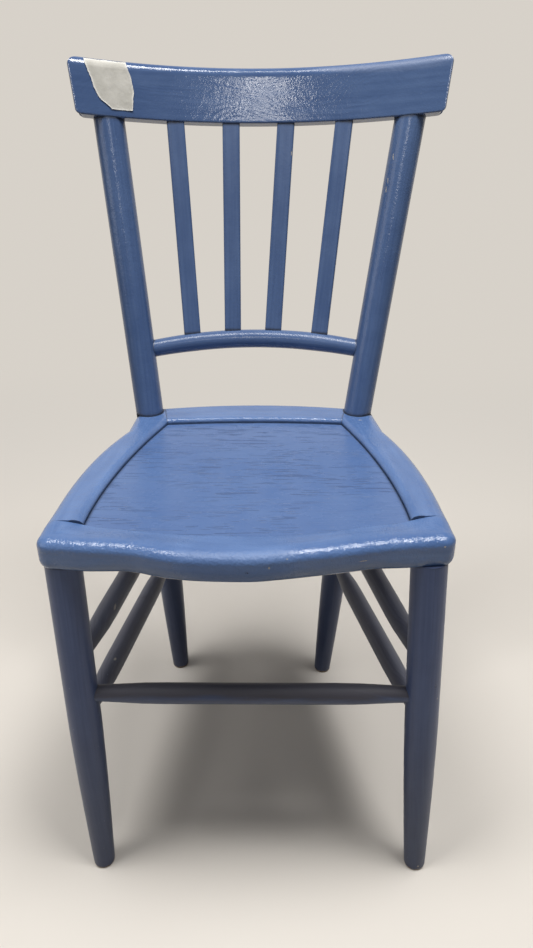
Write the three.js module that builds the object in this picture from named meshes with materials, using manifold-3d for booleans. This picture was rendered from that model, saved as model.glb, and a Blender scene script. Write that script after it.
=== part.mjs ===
// A painted kitchen chair: turned legs and posts, four back slats under a bent crest rail,
// and a seat frame of four rails round a thin inset panel. Millimetres, +Z up, the sitter
// faces -Y and +X is the sitter's left. The origin is on the floor under the middle of the chair.
import * as THREE from "three";
import { mergeVertices } from "three/addons/utils/BufferGeometryUtils.js";
import Module from "manifold-3d";

const wasm = await Module();
wasm.setup();

// Fits
const joinGap = 0.3; // between two pieces that touch
const boreGap = 0.3; // round a tenon or dowel, and past its end
const apart = 400; // how far a cutting block reaches past what it cuts

// Seat frame, measured from the floor and from the line of the front feet
const seatHeight = 441; // top of the side rails
const railThickness = 34;
const seatFrontHalf = 185; // half width where the sides are widest
const seatWaistHalf = 151.5; // half width just in front of the back posts
const seatWaistLean = 2; // the sitter's left side is that much fuller there
const seatWaistY = 240;
const sideBelly = 2.75; // exponent of the outward curve of the sides
const cornerFlare = 4; // the front corners spread a little more
const flareLength = 60;
const cornerRadius = 13;
const topRound = 8; // height of the rounded upper edges
const topRoundWidth = 10; // how far that rounding reaches over the top
const bottomRound = 5;
const earWall = 1.5; // wood round a post's foot
const jointY = 33; // where the side rails butt on the front rail
const jointSkew = 0.027; // that line runs back a little towards the sitter's left
const jointInnerHalf = 106; // where the rear rail butts on the side rails, at its front
const jointOuterHalf = 114.5; // and at its back
const rearInnerY = 266;
const rearOuterY = 312;
const rearInnerBow = 6;
const rearOuterBow = 12;
// The wavy front edge: share of the half width, then Y
const frontEdge = [
  [-1, -4],
  [-0.84, -8],
  [-0.6, -12],
  [-0.48, -18.2],
  [-0.38, -22.6],
  [-0.23, -26],
  [0.02, -27],
  [0.17, -23.8],
  [0.32, -19.2],
  [0.5, -13],
  [0.69, -5.6],
  [0.87, -0.8],
  [1, 2],
];

// Seat panel
const panelHalfFront = 150;
const panelHalfRear = 105.3;
const panelBelly = 1.8;
const panelOverrun = 1.05; // that curve runs on a little past the rear corner
const panelDrop = 6; // below the side rails
const panelThickness = 5;
const ledgeWidth = 8; // what the panel rests on
const dishFrom = 140; // the front rail falls to the panel's level between these half widths
const dishTo = 176;
// Where the panel meets the front rail: share of the half width, then Y
const panelFrontEdge = [
  [-1, 28.5],
  [-0.8, 24],
  [-0.55, 16.8],
  [-0.25, 12.6],
  [0.15, 11.8],
  [0.45, 18],
  [0.72, 28],
  [1, 36.5],
];

// Legs: each runs from the floor to the seat's underside; a lean moves a pair sideways,
// because the frame is racked by use
const frontFootHalf = 179;
const frontFootLean = 6.8;
const frontTopHalf = 168;
const frontTopLean = -1.9;
const frontTopY = 16;
const frontFootY = 3;
const rearFootHalf = 110.5;
const rearFootLean = -12.3;
const rearFootY = 329.5;
const rearFootTwist = -4.5; // the sitter's left foot stands forward of the other
const rearTopHalf = 125.5;
const rearTopLean = -3.5;
const rearTopY = 294;
const legRadius = 17;
const footRadius = 11.8;
const footRound = 3.5;
const footTrim = 1.2; // a foot's rounding starts this far below the level cut
const taperTop = 215; // height at which a leg starts to taper
const taperShape = 0.85; // near 0 the taper is straight, at 1 the leg stays full for longer
const legTenonRadius = 9;
const frontTenonDepth = 20;
const rearTenonDepth = 14;

// Back posts
const postFootHalf = 128.9;
const postFootLean = -1.7;
const postFootY = 294;
const postTopHalf = 171.3;
const postTopLean = 7;
const postTopY = 376;
const postRise = 324; // of the crest rail's lower edge above the seat
const postFootRadius = 16.7;
const postTopRadius = 17.4;
const postTenonRadius = 10;
const postTenonDepth = 14;
const scarfLength = 48; // the back of a post is shaved off this far below the crest rail

// Crest rail: it is bent round the raked line of the back
const crestLean = 8.5;
const crestHalfBottom = 204;
const crestHalfTop = 210;
const crestHeight = 59.5;
const crestThickness = 18;
const crestSag = 37; // how far the ends come forward of the middle
const crestRise = 2.5; // and how far they rise above it
const crestCorner = 9.5;
const crestLowerCorner = 4;
const crestEdge = 1.5;
const crestFrontRound = [8.5, 11]; // depth and height of the rounded top edge, in front
const crestBackRound = [9.5, 9];
const crestDowelRadius = 5;
const crestDowelHalf = 20;

// Lower back rail
const backRailRise = 72; // above the seat
const backRailBow = 23;
const backRailArch = 8.7;
const backRailHalfHeight = 11;
const backRailHalfDepth = 11;
const backRailTenonRadius = 6;
const backRailTenonDepth = 12;

// Slats, sideways from the middle of the crest rail and of the lower back rail
const slatTopX = [-97.8, -34.4, 29.2, 95.7];
const slatFootX = [-76.3, -27.3, 21.9, 78.2];
const slatWidth = 20;
const slatThickness = 8;
const slatRound = 2;
const slatTenonDepth = 10;
const slatSetBack = 1.2; // behind the front of the crest rail

// Stretchers
const lowerSideFrontHeight = 216;
const lowerSideRearHeight = 209;
const upperSideFrontHeight = 287;
const upperSideRearHeight = 285;
const frontStretcherHeight = 249;
const rearStretcherHeight = 248;
const sideStretcherRadius = 11.4;
const sideStretcherEnd = 7.6;
const crossStretcherRadius = 10.6;
const crossStretcherEnd = 8.2;
const stretcherTenonDepth = 12;
const stretcherRamp = 68; // length over which a stretcher swells from its end
// How it swells: share of that length, then share of the way to the full radius
const stretcherSwell = [
  [0, 0],
  [0.36, 0.45],
  [0.68, 0.85],
  [1, 1],
];

// Seat frame dowels
const dowelRadius = 4;
const dowelHalf = 18;
const frontDowelX = 150;
const rearDowelY = 274;
const dowelDrop = 23; // below the top of the side rails

// Paper label on the crest rail: points across from its middle and up its face
const labelThickness = 0.4;
const labelOutline = [
  [-193.5, 57],
  [-149.5, 56],
  [-144, 42],
  [-141.5, 27],
  [-143.4, 8.2],
  [-164.6, 7.4],
  [-178, 18.5],
  [-183.4, 28.5],
  [-186, 38],
];

// How finely round shapes are cut
const turnedSegments = 24;
const boreSegments = 18;
const roundSteps = 4;
const frontEdgeSteps = 36;
const panelEdgeSteps = 24;
const curveSteps = 12; // along any other gentle curve
const taperSteps = 7;
const crestBendSteps = 26;
const labelBendSteps = 90;
const backRailBendSteps = 18;

const panelTop = seatHeight - panelDrop;
const ledgeTop = panelTop - panelThickness - joinGap;
const underside = seatHeight - railThickness;
const postTopHeight = seatHeight + postRise;
const backRailHeight = seatHeight + backRailRise;
const dowelHeight = seatHeight - dowelDrop;
const rake = Math.atan2(postTopY - postFootY, postTopHeight - seatHeight);

const blue = { color: 0x3f5f97, roughness: 0.32, metalness: 0 };
const shadedBlue = { color: 0x3a4f7c, roughness: 0.38, metalness: 0 };
const wornBlue = { color: 0x3c424e, roughness: 0.5, metalness: 0 };
const bareWood = { color: 0xb08a5c, roughness: 0.7, metalness: 0 };
const paper = { color: 0xc9c9bb, roughness: 0.85, metalness: 0 };

const point = (x, y, z) => new THREE.Vector3(x, y, z);
const smooth = (t) => t * t * (3 - 2 * t);
const clamp = THREE.MathUtils.clamp;

// A closed geometry as a solid that can be joined and cut.
function solidOf(geometry, matrix = new THREE.Matrix4()) {
  const bare = geometry.clone().applyMatrix4(matrix);
  bare.deleteAttribute("normal");
  bare.deleteAttribute("uv");
  const merged = mergeVertices(bare, 1e-3);
  return new wasm.Manifold(
    new wasm.Mesh({
      numProp: 3,
      vertProperties: merged.attributes.position.array,
      triVerts: new Uint32Array(merged.index.array),
    }),
  );
}

function geometryOf(solid) {
  const mesh = solid.getMesh();
  const geometry = new THREE.BufferGeometry();
  geometry.setAttribute("position", new THREE.BufferAttribute(mesh.vertProperties, 3));
  geometry.setIndex(new THREE.BufferAttribute(mesh.triVerts, 1));
  return geometry;
}

const cut = (solid, cutters) => cutters.reduce((left, cutter) => left.subtract(cutter), solid);
const join = (solids) => solids.reduce((all, solid) => all.add(solid));

// The frame whose origin is at one point and whose Z axis runs to another.
function frameAlong(from, to, across) {
  const zAxis = to.clone().sub(from).normalize();
  const sideways = Math.abs(zAxis.x) > 0.9 ? point(0, 1, 0) : point(1, 0, 0);
  const yAxis = zAxis.clone().cross(across ?? sideways).normalize();
  const xAxis = yAxis.clone().cross(zAxis);
  return new THREE.Matrix4().makeBasis(xAxis, yAxis, zAxis).setPosition(from);
}

// A turned piece from a list of radius and height, closed on its axis, standing along Z.
function turned(profile, segments = turnedSegments) {
  const start = new THREE.Vector2(0, profile[0][1]);
  const end = new THREE.Vector2(0, profile[profile.length - 1][1]);
  const points = profile.map(([radius, height]) => new THREE.Vector2(radius, height));
  return new THREE.LatheGeometry([start, ...points, end], segments).rotateX(Math.PI / 2);
}

// A round rod from one point to another, past them by the lengths given.
function rod(from, to, radius, before = 0, after = 0) {
  const length = from.distanceTo(to);
  const geometry = turned([[radius, -before], [radius, length + after]], boreSegments);
  return solidOf(geometry, frameAlong(from, to));
}

// Everything on the side of a plane that its normal points to.
function halfSpace(on, normal) {
  const block = new THREE.BoxGeometry(3 * apart, 3 * apart, apart).translate(0, 0, apart / 2);
  return solidOf(block, frameAlong(on, on.clone().add(normal)));
}

// A plan outline stood up between two heights.
function prism(outline, low, high) {
  const shape = new THREE.Shape(outline);
  const geometry = new THREE.ExtrudeGeometry(shape, { depth: high - low, bevelEnabled: false });
  return solidOf(geometry.translate(0, 0, low));
}

// A plan outline with a rounded edge at one end; reach is how far it runs the other way.
function roundedEnd(outline, level, width, height, reach, faceUp) {
  const geometry = new THREE.ExtrudeGeometry(new THREE.Shape(outline), {
    depth: reach,
    bevelSize: width,
    bevelOffset: -width,
    bevelThickness: height,
    bevelSegments: roundSteps,
  });
  const lift = faceUp ? level - height - reach : level + height;
  return geometry.translate(0, 0, lift);
}

// Shares of a half width and Y, run through as a smooth curve from left to right.
function wavyEdge(shares, halfWidth, steps) {
  const points = shares.map(([share, y]) => new THREE.Vector2(share * halfWidth, y));
  return new THREE.SplineCurve(points).getPoints(steps);
}

const frontJoint = (x) => jointY + jointSkew * x;

// Half width of the seat's outer edge, and of the panel, at a distance Y back.
function outerHalf(y, side) {
  const t = clamp(y / seatWaistY, 0, 1);
  const waist = seatWaistHalf + side * seatWaistLean;
  const flare = cornerFlare * clamp(1 - y / flareLength, 0, 1) ** 2;
  return waist + (seatFrontHalf - waist) * (1 - t ** sideBelly) + flare;
}

function panelHalf(y) {
  const t = clamp((y - jointY) / (rearInnerY - jointY), 0, panelOverrun);
  return panelHalfFront - (panelHalfFront - panelHalfRear) * t ** panelBelly;
}

const mirrored = (side, points) => points.map((p) => new THREE.Vector2(side * p.x, p.y));
const rearOuter = (x) => rearOuterY + rearOuterBow * (1 - (x / jointOuterHalf) ** 2);
const rearInner = (x) => rearInnerY + rearInnerBow * (1 - (x / jointInnerHalf) ** 2);

// A stretch of one side's outer edge, as if on the sitter's left.
function bellyEdge(side, fromY, toY, steps) {
  const points = [];
  for (let i = 0; i <= steps; i += 1) {
    const y = THREE.MathUtils.lerp(fromY, toY, i / steps);
    points.push(new THREE.Vector2(outerHalf(y, side), y));
  }
  return points;
}

// One side's outer edge from the front joint to the back of the ear round the post's foot.
function sideEdge(side) {
  const points = bellyEdge(side, jointY, seatWaistY, curveSteps);
  const radius = postFootRadius + earWall;
  const earTurns = 7;
  for (let i = 0; i <= earTurns; i += 1) {
    const turn = (i / earTurns) * (Math.PI / 2);
    points.push(
      new THREE.Vector2(
        postFootHalf + radius * Math.cos(turn),
        postFootY + radius * Math.sin(turn),
      ),
    );
  }
  return points;
}

// The front corner as a quarter turn from the side edge to the end of the front edge.
function cornerEdge(side) {
  const endY = side < 0 ? frontEdge[0][1] : frontEdge[frontEdge.length - 1][1];
  const half = outerHalf(endY + cornerRadius, side);
  const points = [];
  for (let i = 0; i <= roundSteps + 1; i += 1) {
    const turn = (i / (roundSteps + 1)) * (Math.PI / 2);
    const x = half - cornerRadius * (1 - Math.cos(turn));
    points.push(new THREE.Vector2(side * x, endY + cornerRadius * (1 - Math.sin(turn))));
  }
  return points;
}

// The whole seat's outline, seen from above.
function seatOutline() {
  const front = wavyEdge(frontEdge, seatFrontHalf - cornerRadius, frontEdgeSteps);
  const rear = [];
  for (let i = 0; i <= curveSteps; i += 1) {
    const x = THREE.MathUtils.lerp(jointOuterHalf, -jointOuterHalf, i / curveSteps);
    rear.push(new THREE.Vector2(x, rearOuter(x)));
  }
  return [
    ...cornerEdge(-1),
    ...front.slice(1, -1),
    ...cornerEdge(1).reverse(),
    ...sideEdge(1),
    ...rear,
    ...mirrored(-1, sideEdge(-1)).reverse(),
  ];
}

// The panel's outline, grown by a distance: a gap is more than 0 and the ledge is less.
function panelOutline(grow) {
  const half = panelHalfFront + grow;
  const front = wavyEdge(panelFrontEdge, half, panelEdgeSteps).map((p) => p.setY(p.y - grow));
  const side = (sign) => {
    const startY = frontJoint(sign * panelHalfFront) - grow;
    const points = [];
    for (let i = 1; i <= curveSteps; i += 1) {
      const y = THREE.MathUtils.lerp(startY, rearInnerY + grow, i / curveSteps);
      points.push(new THREE.Vector2(sign * (panelHalf(y - grow) + grow), y));
    }
    return points;
  };
  const right = side(1);
  const left = side(-1);
  const last = right[right.length - 1].x;
  const rear = [];
  for (let i = 1; i < curveSteps; i += 1) {
    const x = THREE.MathUtils.lerp(last, -last, i / curveSteps);
    rear.push(new THREE.Vector2(x, rearInner((x * jointInnerHalf) / last) + grow));
  }
  return [...front, ...right, ...rear, ...left.reverse()];
}

// The line on which a side rail and the rear rail butt, moved sideways by a gap.
function rearJointX(y, gap) {
  const slope = (jointOuterHalf - jointInnerHalf) / (rearOuterY - rearInnerY);
  return jointInnerHalf + slope * (y - rearInnerY) + gap;
}

// Plan areas that each rail may fill.
function frontArea() {
  const reach = seatFrontHalf + apart;
  const back = (x) => new THREE.Vector2(x, frontJoint(x) - joinGap / 2);
  return [
    new THREE.Vector2(-reach, -apart),
    new THREE.Vector2(reach, -apart),
    back(reach),
    back(-reach),
  ];
}

function sideArea(side) {
  const rear = (y) => new THREE.Vector2(rearJointX(y, joinGap / 2), y);
  const front = (x) => new THREE.Vector2(x, frontJoint(side * x) + joinGap / 2);
  const inner = rear(rearInnerY / 2);
  const outer = seatFrontHalf + apart;
  const points = [
    inner,
    front(inner.x),
    front(outer),
    new THREE.Vector2(outer, rearOuterY + apart),
    rear(rearOuterY + apart),
  ];
  return mirrored(side, points);
}

function rearArea() {
  const low = jointY + 2 * ledgeWidth;
  const high = rearOuterY + apart;
  return [
    new THREE.Vector2(-rearJointX(low, -joinGap / 2), low),
    new THREE.Vector2(rearJointX(low, -joinGap / 2), low),
    new THREE.Vector2(rearJointX(high, -joinGap / 2), high),
    new THREE.Vector2(-rearJointX(high, -joinGap / 2), high),
  ];
}

// The upper part of a side rail, rounded along its outer and inner edges.
function sideRailTop(side) {
  const inner = [];
  for (let i = 0; i <= curveSteps; i += 1) {
    const y = THREE.MathUtils.lerp(rearInnerY, jointY, i / curveSteps);
    inner.push(new THREE.Vector2(panelHalf(y), y));
  }
  const beyond = topRoundWidth + cornerRadius;
  const outline = [
    new THREE.Vector2(seatFrontHalf + cornerFlare, jointY - beyond),
    ...sideEdge(side),
    new THREE.Vector2(jointOuterHalf - beyond, rearOuterY + rearOuterBow / 2),
    new THREE.Vector2(jointInnerHalf - beyond, rearInnerY),
    ...inner,
    new THREE.Vector2(panelHalfFront, jointY - beyond),
  ];
  return mirrored(side, outline);
}

function rearRailTop() {
  const beyond = topRoundWidth + cornerRadius;
  const across = (half, edge) => {
    const points = [];
    for (let i = 0; i <= curveSteps; i += 1) {
      const x = THREE.MathUtils.lerp(-half, half, i / curveSteps);
      points.push(new THREE.Vector2(x, edge(x)));
    }
    return points;
  };
  return [
    ...across(jointInnerHalf + beyond, rearInner),
    ...across(jointOuterHalf + beyond, rearOuter).reverse(),
  ];
}

// The front rail's upper part: its top falls to the panel's level between the corners.
function frontRailTop() {
  const beyond = topRoundWidth + cornerRadius;
  const onBack = (x) => new THREE.Vector2(x, frontJoint(x) + beyond);
  const cornerToBack = (side) => bellyEdge(side, jointY - cornerRadius / 2, jointY + beyond, 1);
  const backLine = [];
  const steps = 2 * curveSteps;
  for (let i = 0; i <= steps; i += 1) {
    const x = THREE.MathUtils.lerp(seatFrontHalf - beyond, beyond - seatFrontHalf, i / steps);
    backLine.push(onBack(x));
  }
  const outline = [
    ...cornerEdge(-1),
    ...wavyEdge(frontEdge, seatFrontHalf - cornerRadius, frontEdgeSteps).slice(1, -1),
    ...cornerEdge(1).reverse(),
    ...cornerToBack(1),
    ...backLine,
    ...mirrored(-1, cornerToBack(-1)).reverse(),
  ];
  const reach = railThickness;
  const top = roundedEnd(outline, seatHeight, topRoundWidth, topRound, reach, true);
  const places = top.attributes.position;
  for (let i = 0; i < places.count; i += 1) {
    const share = (Math.abs(places.getX(i)) - dishFrom) / (dishTo - dishFrom);
    const fall = panelDrop * (1 - smooth(clamp(share, 0, 1)));
    const level = (places.getZ(i) - underside) / railThickness;
    places.setZ(i, places.getZ(i) - fall * clamp(2 * level - 1, 0, 1));
  }
  return solidOf(top);
}

// The four rails, before anything is bored into them.
function seatRails() {
  const lower = solidOf(
    roundedEnd(seatOutline(), underside, bottomRound, bottomRound, railThickness, false),
  );
  const opening = prism(panelOutline(-ledgeWidth), underside - apart, seatHeight + apart);
  const pocket = prism(panelOutline(joinGap), ledgeTop, seatHeight + apart);
  const below = prism(seatOutline(), underside - joinGap, ledgeTop);
  const area = (outline) => prism(outline, underside - apart, seatHeight + apart);
  const rail = (outline, fill) => {
    const top = solidOf(
      roundedEnd(outline, seatHeight, topRoundWidth, topRound, railThickness, true),
    );
    return join([top.intersect(lower), lower.intersect(below)])
      .intersect(area(fill))
      .subtract(pocket)
      .subtract(opening);
  };
  return {
    front: frontRailTop()
      .intersect(lower)
      .intersect(area(frontArea()))
      .subtract(pocket)
      .subtract(opening),
    left: rail(sideRailTop(-1), sideArea(-1)),
    right: rail(sideRailTop(1), sideArea(1)),
    rear: rail(rearRailTop(), rearArea()),
  };
}

// The axes of the straight members, from bottom to top or from front to back.
function memberAxes(side) {
  const foot = point(side * frontFootHalf + frontFootLean, frontFootY, 0);
  const top = point(side * frontTopHalf + frontTopLean, frontTopY, underside);
  const rearFootBack = rearFootY + side * rearFootTwist;
  const rearFoot = point(side * rearFootHalf + rearFootLean, rearFootBack, 0);
  const rearTop = point(side * rearTopHalf + rearTopLean, rearTopY, underside);
  const at = (low, high, height) => low.clone().lerp(high, height / underside);
  return {
    frontLeg: [foot, top],
    rearLeg: [rearFoot, rearTop],
    lower: [at(foot, top, lowerSideFrontHeight), at(rearFoot, rearTop, lowerSideRearHeight)],
    upper: [at(foot, top, upperSideFrontHeight), at(rearFoot, rearTop, upperSideRearHeight)],
    front: at(foot, top, frontStretcherHeight),
    rear: at(rearFoot, rearTop, rearStretcherHeight),
    post: [
      point(side * postFootHalf + postFootLean, postFootY, seatHeight),
      point(side * postTopHalf + postTopLean, postTopY, postTopHeight),
    ],
  };
}

const onAxis = (axis, height) => {
  const [low, high] = axis;
  return low.clone().lerp(high, (height - low.z) / (high.z - low.z));
};

// A leg: straight to the taper, then thinner to a small rounded foot cut level with the floor.
function legSolid([foot, top], tenonDepth) {
  const length = foot.distanceTo(top);
  const profile = [];
  for (let i = 0; i <= 2; i += 1) {
    const turn = (i / 2) * (Math.PI / 2);
    const radius = footRadius - footRound * (1 - Math.sin(turn));
    profile.push([radius, footRound * (1 - Math.cos(turn)) - footTrim]);
  }
  const swell = (t) => Math.sin((t * taperShape * Math.PI) / 2);
  for (let i = 1; i <= taperSteps; i += 1) {
    const t = i / taperSteps;
    const radius = THREE.MathUtils.lerp(footRadius, legRadius, swell(t) / swell(1));
    profile.push([radius, THREE.MathUtils.lerp(footRound, taperTop, t)]);
  }
  profile.push([legRadius, length + legRadius]);
  const upright = point(0, 0, 1);
  const body = solidOf(turned(profile), frameAlong(foot, top))
    .subtract(halfSpace(point(0, 0, underside - joinGap), upright))
    .subtract(halfSpace(point(0, 0, 0), upright.clone().negate()));
  return body.add(rod(foot, top, legTenonRadius, -length / 2, tenonDepth));
}

// A stretcher between two axes; each end goes straight into a bore.
function stretcherSolid(from, to, radius, end) {
  const inset = legRadius - stretcherTenonDepth;
  const length = from.distanceTo(to);
  const ramp = stretcherSwell.map(([along, out]) => [
    THREE.MathUtils.lerp(end, radius, out),
    legRadius + along * stretcherRamp,
  ]);
  const profile = [[end, inset], ...ramp];
  const farEnd = profile.map(([r, h]) => [r, length - h]).reverse();
  return solidOf(turned([...profile, ...farEnd]), frameAlong(from, to));
}

// The bore that takes a stretcher's end, from the leg's axis out past its skin.
function stretcherBore(from, to, end) {
  const direction = to.clone().sub(from).normalize();
  const inset = legRadius - stretcherTenonDepth - boreGap;
  const start = from.clone().addScaledVector(direction, inset);
  const stop = from.clone().addScaledVector(direction, 2 * legRadius);
  return rod(start, stop, end + boreGap);
}

// The crest rail's own frame: X along it, Y back through it and Z up its raked face.
// Its origin is the middle of the lower front edge.
function crestSetting() {
  const up = point(0, Math.sin(rake), Math.cos(rake));
  const back = point(0, Math.cos(rake), -Math.sin(rake));
  const origin = point(crestLean, postTopY, postTopHeight)
    .addScaledVector(back, crestForward(postTopHalf) - postTopRadius)
    .addScaledVector(up, -crestRise * (postTopHalf / crestHalfBottom) ** 2);
  return new THREE.Matrix4().makeBasis(point(1, 0, 0), back, up).setPosition(origin);
}

// How far the rail's face stands forward of its middle.
const crestForward = (x) => crestSag * (x / crestHalfBottom) ** 2;

// The bend as a curve: a parabola is one quadratic curve.
function crestPath() {
  const half = crestHalfTop + crestEdge;
  const forward = crestForward(half);
  const rise = (crestRise * forward) / crestSag;
  return new THREE.QuadraticBezierCurve3(
    point(-half, -forward, rise),
    point(0, forward, -rise),
    point(half, -forward, rise),
  );
}

// The section's skin from the lower front edge over the top to the lower back edge, moved
// out by a distance, as depth and height.
function crestSkin(out, from = 0, steps = roundSteps + 2) {
  const [frontDepth, frontHeight] = crestFrontRound;
  const [backDepth, backHeight] = crestBackRound;
  const skin = [[-out, from]];
  for (let i = 0; i <= steps; i += 1) {
    const turn = (i / steps) * (Math.PI / 2);
    const depth = frontDepth - (frontDepth + out) * Math.cos(turn);
    skin.push([depth, crestHeight - frontHeight + (frontHeight + out) * Math.sin(turn)]);
  }
  for (let i = 1; i <= steps; i += 1) {
    const turn = (i / steps) * (Math.PI / 2);
    const depth = crestThickness - backDepth + (backDepth + out) * Math.sin(turn);
    skin.push([depth, crestHeight - backHeight + (backHeight + out) * Math.cos(turn)]);
  }
  skin.push([crestThickness + out, from]);
  return skin;
}

// A section of depth and height carried along the crest rail's bend, in the rail's frame.
function alongCrest(section, steps) {
  const shape = new THREE.Shape(section.map(([depth, height]) => new THREE.Vector2(-height, depth)));
  const geometry = new THREE.ExtrudeGeometry(shape, {
    steps,
    extrudePath: crestPath(),
    bevelEnabled: false,
  });
  return solidOf(geometry);
}

// A face outline of across and up, as a block through the crest rail, in the rail's frame.
function throughCrest(outline) {
  const shape = new THREE.Shape(outline.map(([x, z]) => new THREE.Vector2(x, z)));
  const geometry = new THREE.ExtrudeGeometry(shape, { depth: apart, bevelEnabled: false });
  return solidOf(geometry.rotateX(Math.PI / 2).translate(0, apart / 2, 0));
}

function crestSolid() {
  const skin = crestSkin(0);
  const lower = [
    [crestThickness, crestEdge],
    [crestThickness - crestEdge, 0],
    [crestEdge, 0],
    [0, crestEdge],
  ];
  const corner = [];
  const turns = 6;
  const top = crestHeight + crestRise;
  for (let i = 0; i <= turns; i += 1) {
    const turn = (i / turns) * (Math.PI / 2);
    const x = crestHalfTop - crestCorner * (1 - Math.cos(turn));
    corner.push([x, top - crestCorner * (1 - Math.sin(turn))]);
  }
  const below = [];
  for (let i = 0; i <= roundSteps; i += 1) {
    const turn = (i / roundSteps) * (Math.PI / 2);
    const x = crestHalfBottom - crestLowerCorner * (1 - Math.sin(turn));
    below.push([x, crestRise + crestLowerCorner * (1 - Math.cos(turn))]);
  }
  const half = [[crestHalfBottom - crestLowerCorner, -apart], ...below, ...corner];
  const face = [...half, ...half.map(([x, z]) => [-x, z]).reverse()];
  return alongCrest([...skin.slice(1, -1), ...lower], crestBendSteps)
    .intersect(throughCrest(face))
    .transform(crestSetting().toArray());
}

function labelSolid() {
  const near = crestSkin(joinGap, crestEdge).slice(0, roundSteps + 3);
  const far = crestSkin(joinGap + labelThickness, crestEdge).slice(0, roundSteps + 3);
  return alongCrest([...near, ...far.reverse()], labelBendSteps)
    .intersect(throughCrest(labelOutline))
    .transform(crestSetting().toArray());
}

// A post, scribed at its foot to the rounded rails that it stands on, and shaved at the back
// of its top so that it comes down to the crest rail's thickness.
function postSolid([foot, top], rails, crest) {
  const length = foot.distanceTo(top);
  const profile = [[postFootRadius, -2 * postFootRadius], [postTopRadius, length + postTopRadius]];
  const lowest = point(0, 0, seatHeight - topRound / 2);
  const up = point(0, Math.sin(rake), Math.cos(rake));
  const back = point(0, Math.cos(rake), -Math.sin(rake));
  const under = top.clone().addScaledVector(up, joinGap);
  const shaveOn = top.clone().addScaledVector(back, crestThickness - postTopRadius);
  const shave = 2 * postTopRadius - crestThickness;
  const shaveTo = back.clone().multiplyScalar(scarfLength).addScaledVector(up, shave);
  const cutters = [
    halfSpace(under, up),
    halfSpace(shaveOn, shaveTo),
    halfSpace(lowest, point(0, 0, -1)),
    ...rails.map((rail) => rail.translate(0, 0, joinGap)),
    crest.translate(up.clone().multiplyScalar(-joinGap).toArray()),
  ];
  return cut(solidOf(turned(profile), frameAlong(foot, top)), cutters)
    .add(rod(foot, top, postTenonRadius, postTenonDepth, -length / 2));
}

// The post as the lower back rail is scribed to it.
function postSkin([foot, top]) {
  const profile = [
    [postFootRadius + joinGap, 0],
    [postTopRadius + joinGap, foot.distanceTo(top)],
  ];
  return solidOf(turned(profile), frameAlong(foot, top));
}

// The line of the lower back rail between the two posts' axes, bowed back and arched up.
function backRailEnds(posts) {
  return posts.map((post) => onAxis(post, backRailHeight));
}

function onBackRail([left, right], x) {
  const half = (right.x - left.x) / 2;
  const share = 1 - (x / half) ** 2;
  const middle = left.clone().lerp(right, 0.5 + x / (2 * half));
  return middle.add(point(0, backRailBow * share, backRailArch * share));
}

function backRailSolid(posts) {
  const ends = backRailEnds(posts);
  const [left, right] = ends;
  const peak = onBackRail(ends, 0);
  const control = peak.clone().multiplyScalar(2).addScaledVector(left, -0.5).addScaledVector(right, -0.5);
  const path = new THREE.QuadraticBezierCurve3(left, control, right);
  const shape = new THREE.Shape();
  shape.absellipse(0, 0, backRailHalfHeight, backRailHalfDepth, 0, 2 * Math.PI);
  const body = new THREE.ExtrudeGeometry(shape, {
    steps: backRailBendSteps,
    curveSegments: 10,
    extrudePath: path,
    bevelEnabled: false,
  });
  const tenons = ends.map((end, i) => {
    const [from, to] = backRailTenon(ends, i);
    return rod(from, to, backRailTenonRadius);
  });
  const inset = slatWidth;
  return join([cut(solidOf(body), posts.map(postSkin)), ...tenons]).intersect(
    prism(
      [
        new THREE.Vector2(left.x - inset, left.y - apart),
        new THREE.Vector2(right.x + inset, left.y - apart),
        new THREE.Vector2(right.x + inset, left.y + apart),
        new THREE.Vector2(left.x - inset, left.y + apart),
      ],
      0,
      2 * seatHeight,
    ),
  );
}

// A tenon of the lower back rail, from its blind end in the post to inside the rail.
function backRailTenon(ends, i, longer = 0) {
  const inward = i === 0 ? 1 : -1;
  const half = (ends[1].x - ends[0].x) / 2;
  const inside = onBackRail(ends, -inward * (half - 3 * postTopRadius));
  const direction = inside.clone().sub(ends[i]).normalize();
  const start = postFootRadius - backRailTenonDepth - longer;
  return [ends[i].clone().addScaledVector(direction, start), inside];
}

// A slat's foot, top and width direction; both ends go into slots.
function slatSetting(i, ends) {
  const foot = onBackRail(ends, slatFootX[i]);
  const depth = slatSetBack + slatThickness / 2 - crestForward(slatTopX[i]);
  const top = point(slatTopX[i], depth, 0).applyMatrix4(crestSetting());
  const slope = (-2 * crestSag * slatTopX[i]) / crestHalfBottom ** 2;
  return { foot, top, across: point(1, slope, 0).normalize() };
}

function slatSolid(setting, grow) {
  const width = slatWidth / 2 + grow;
  const depth = slatThickness / 2 + grow;
  const shape = new THREE.Shape();
  const corners = [[1, 1], [-1, 1], [-1, -1], [1, -1]];
  corners.forEach(([sx, sy], k) => {
    const start = (k * Math.PI) / 2;
    const centre = [sx * (width - slatRound), sy * (depth - slatRound)];
    shape.absarc(...centre, slatRound, start, start + Math.PI / 2, false);
  });
  const length = setting.foot.distanceTo(setting.top);
  const into = slatTenonDepth + grow;
  const geometry = new THREE.ExtrudeGeometry(shape, {
    depth: length + 2 * into - backRailHalfHeight,
    bevelEnabled: false,
    curveSegments: 3,
  });
  geometry.translate(0, 0, backRailHalfHeight - into);
  return solidOf(geometry, frameAlong(setting.foot, setting.top, setting.across));
}

// The dowel that holds a post to the crest rail, from its lower end to its upper end.
function crestDowel([, top], longer = 0) {
  const up = point(0, Math.sin(rake), Math.cos(rake));
  const back = point(0, Math.cos(rake), -Math.sin(rake));
  const centre = top.clone().addScaledVector(back, crestThickness / 2 - postTopRadius);
  const reach = crestDowelHalf + longer;
  return [centre.clone().addScaledVector(up, -reach), centre.clone().addScaledVector(up, reach)];
}

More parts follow.
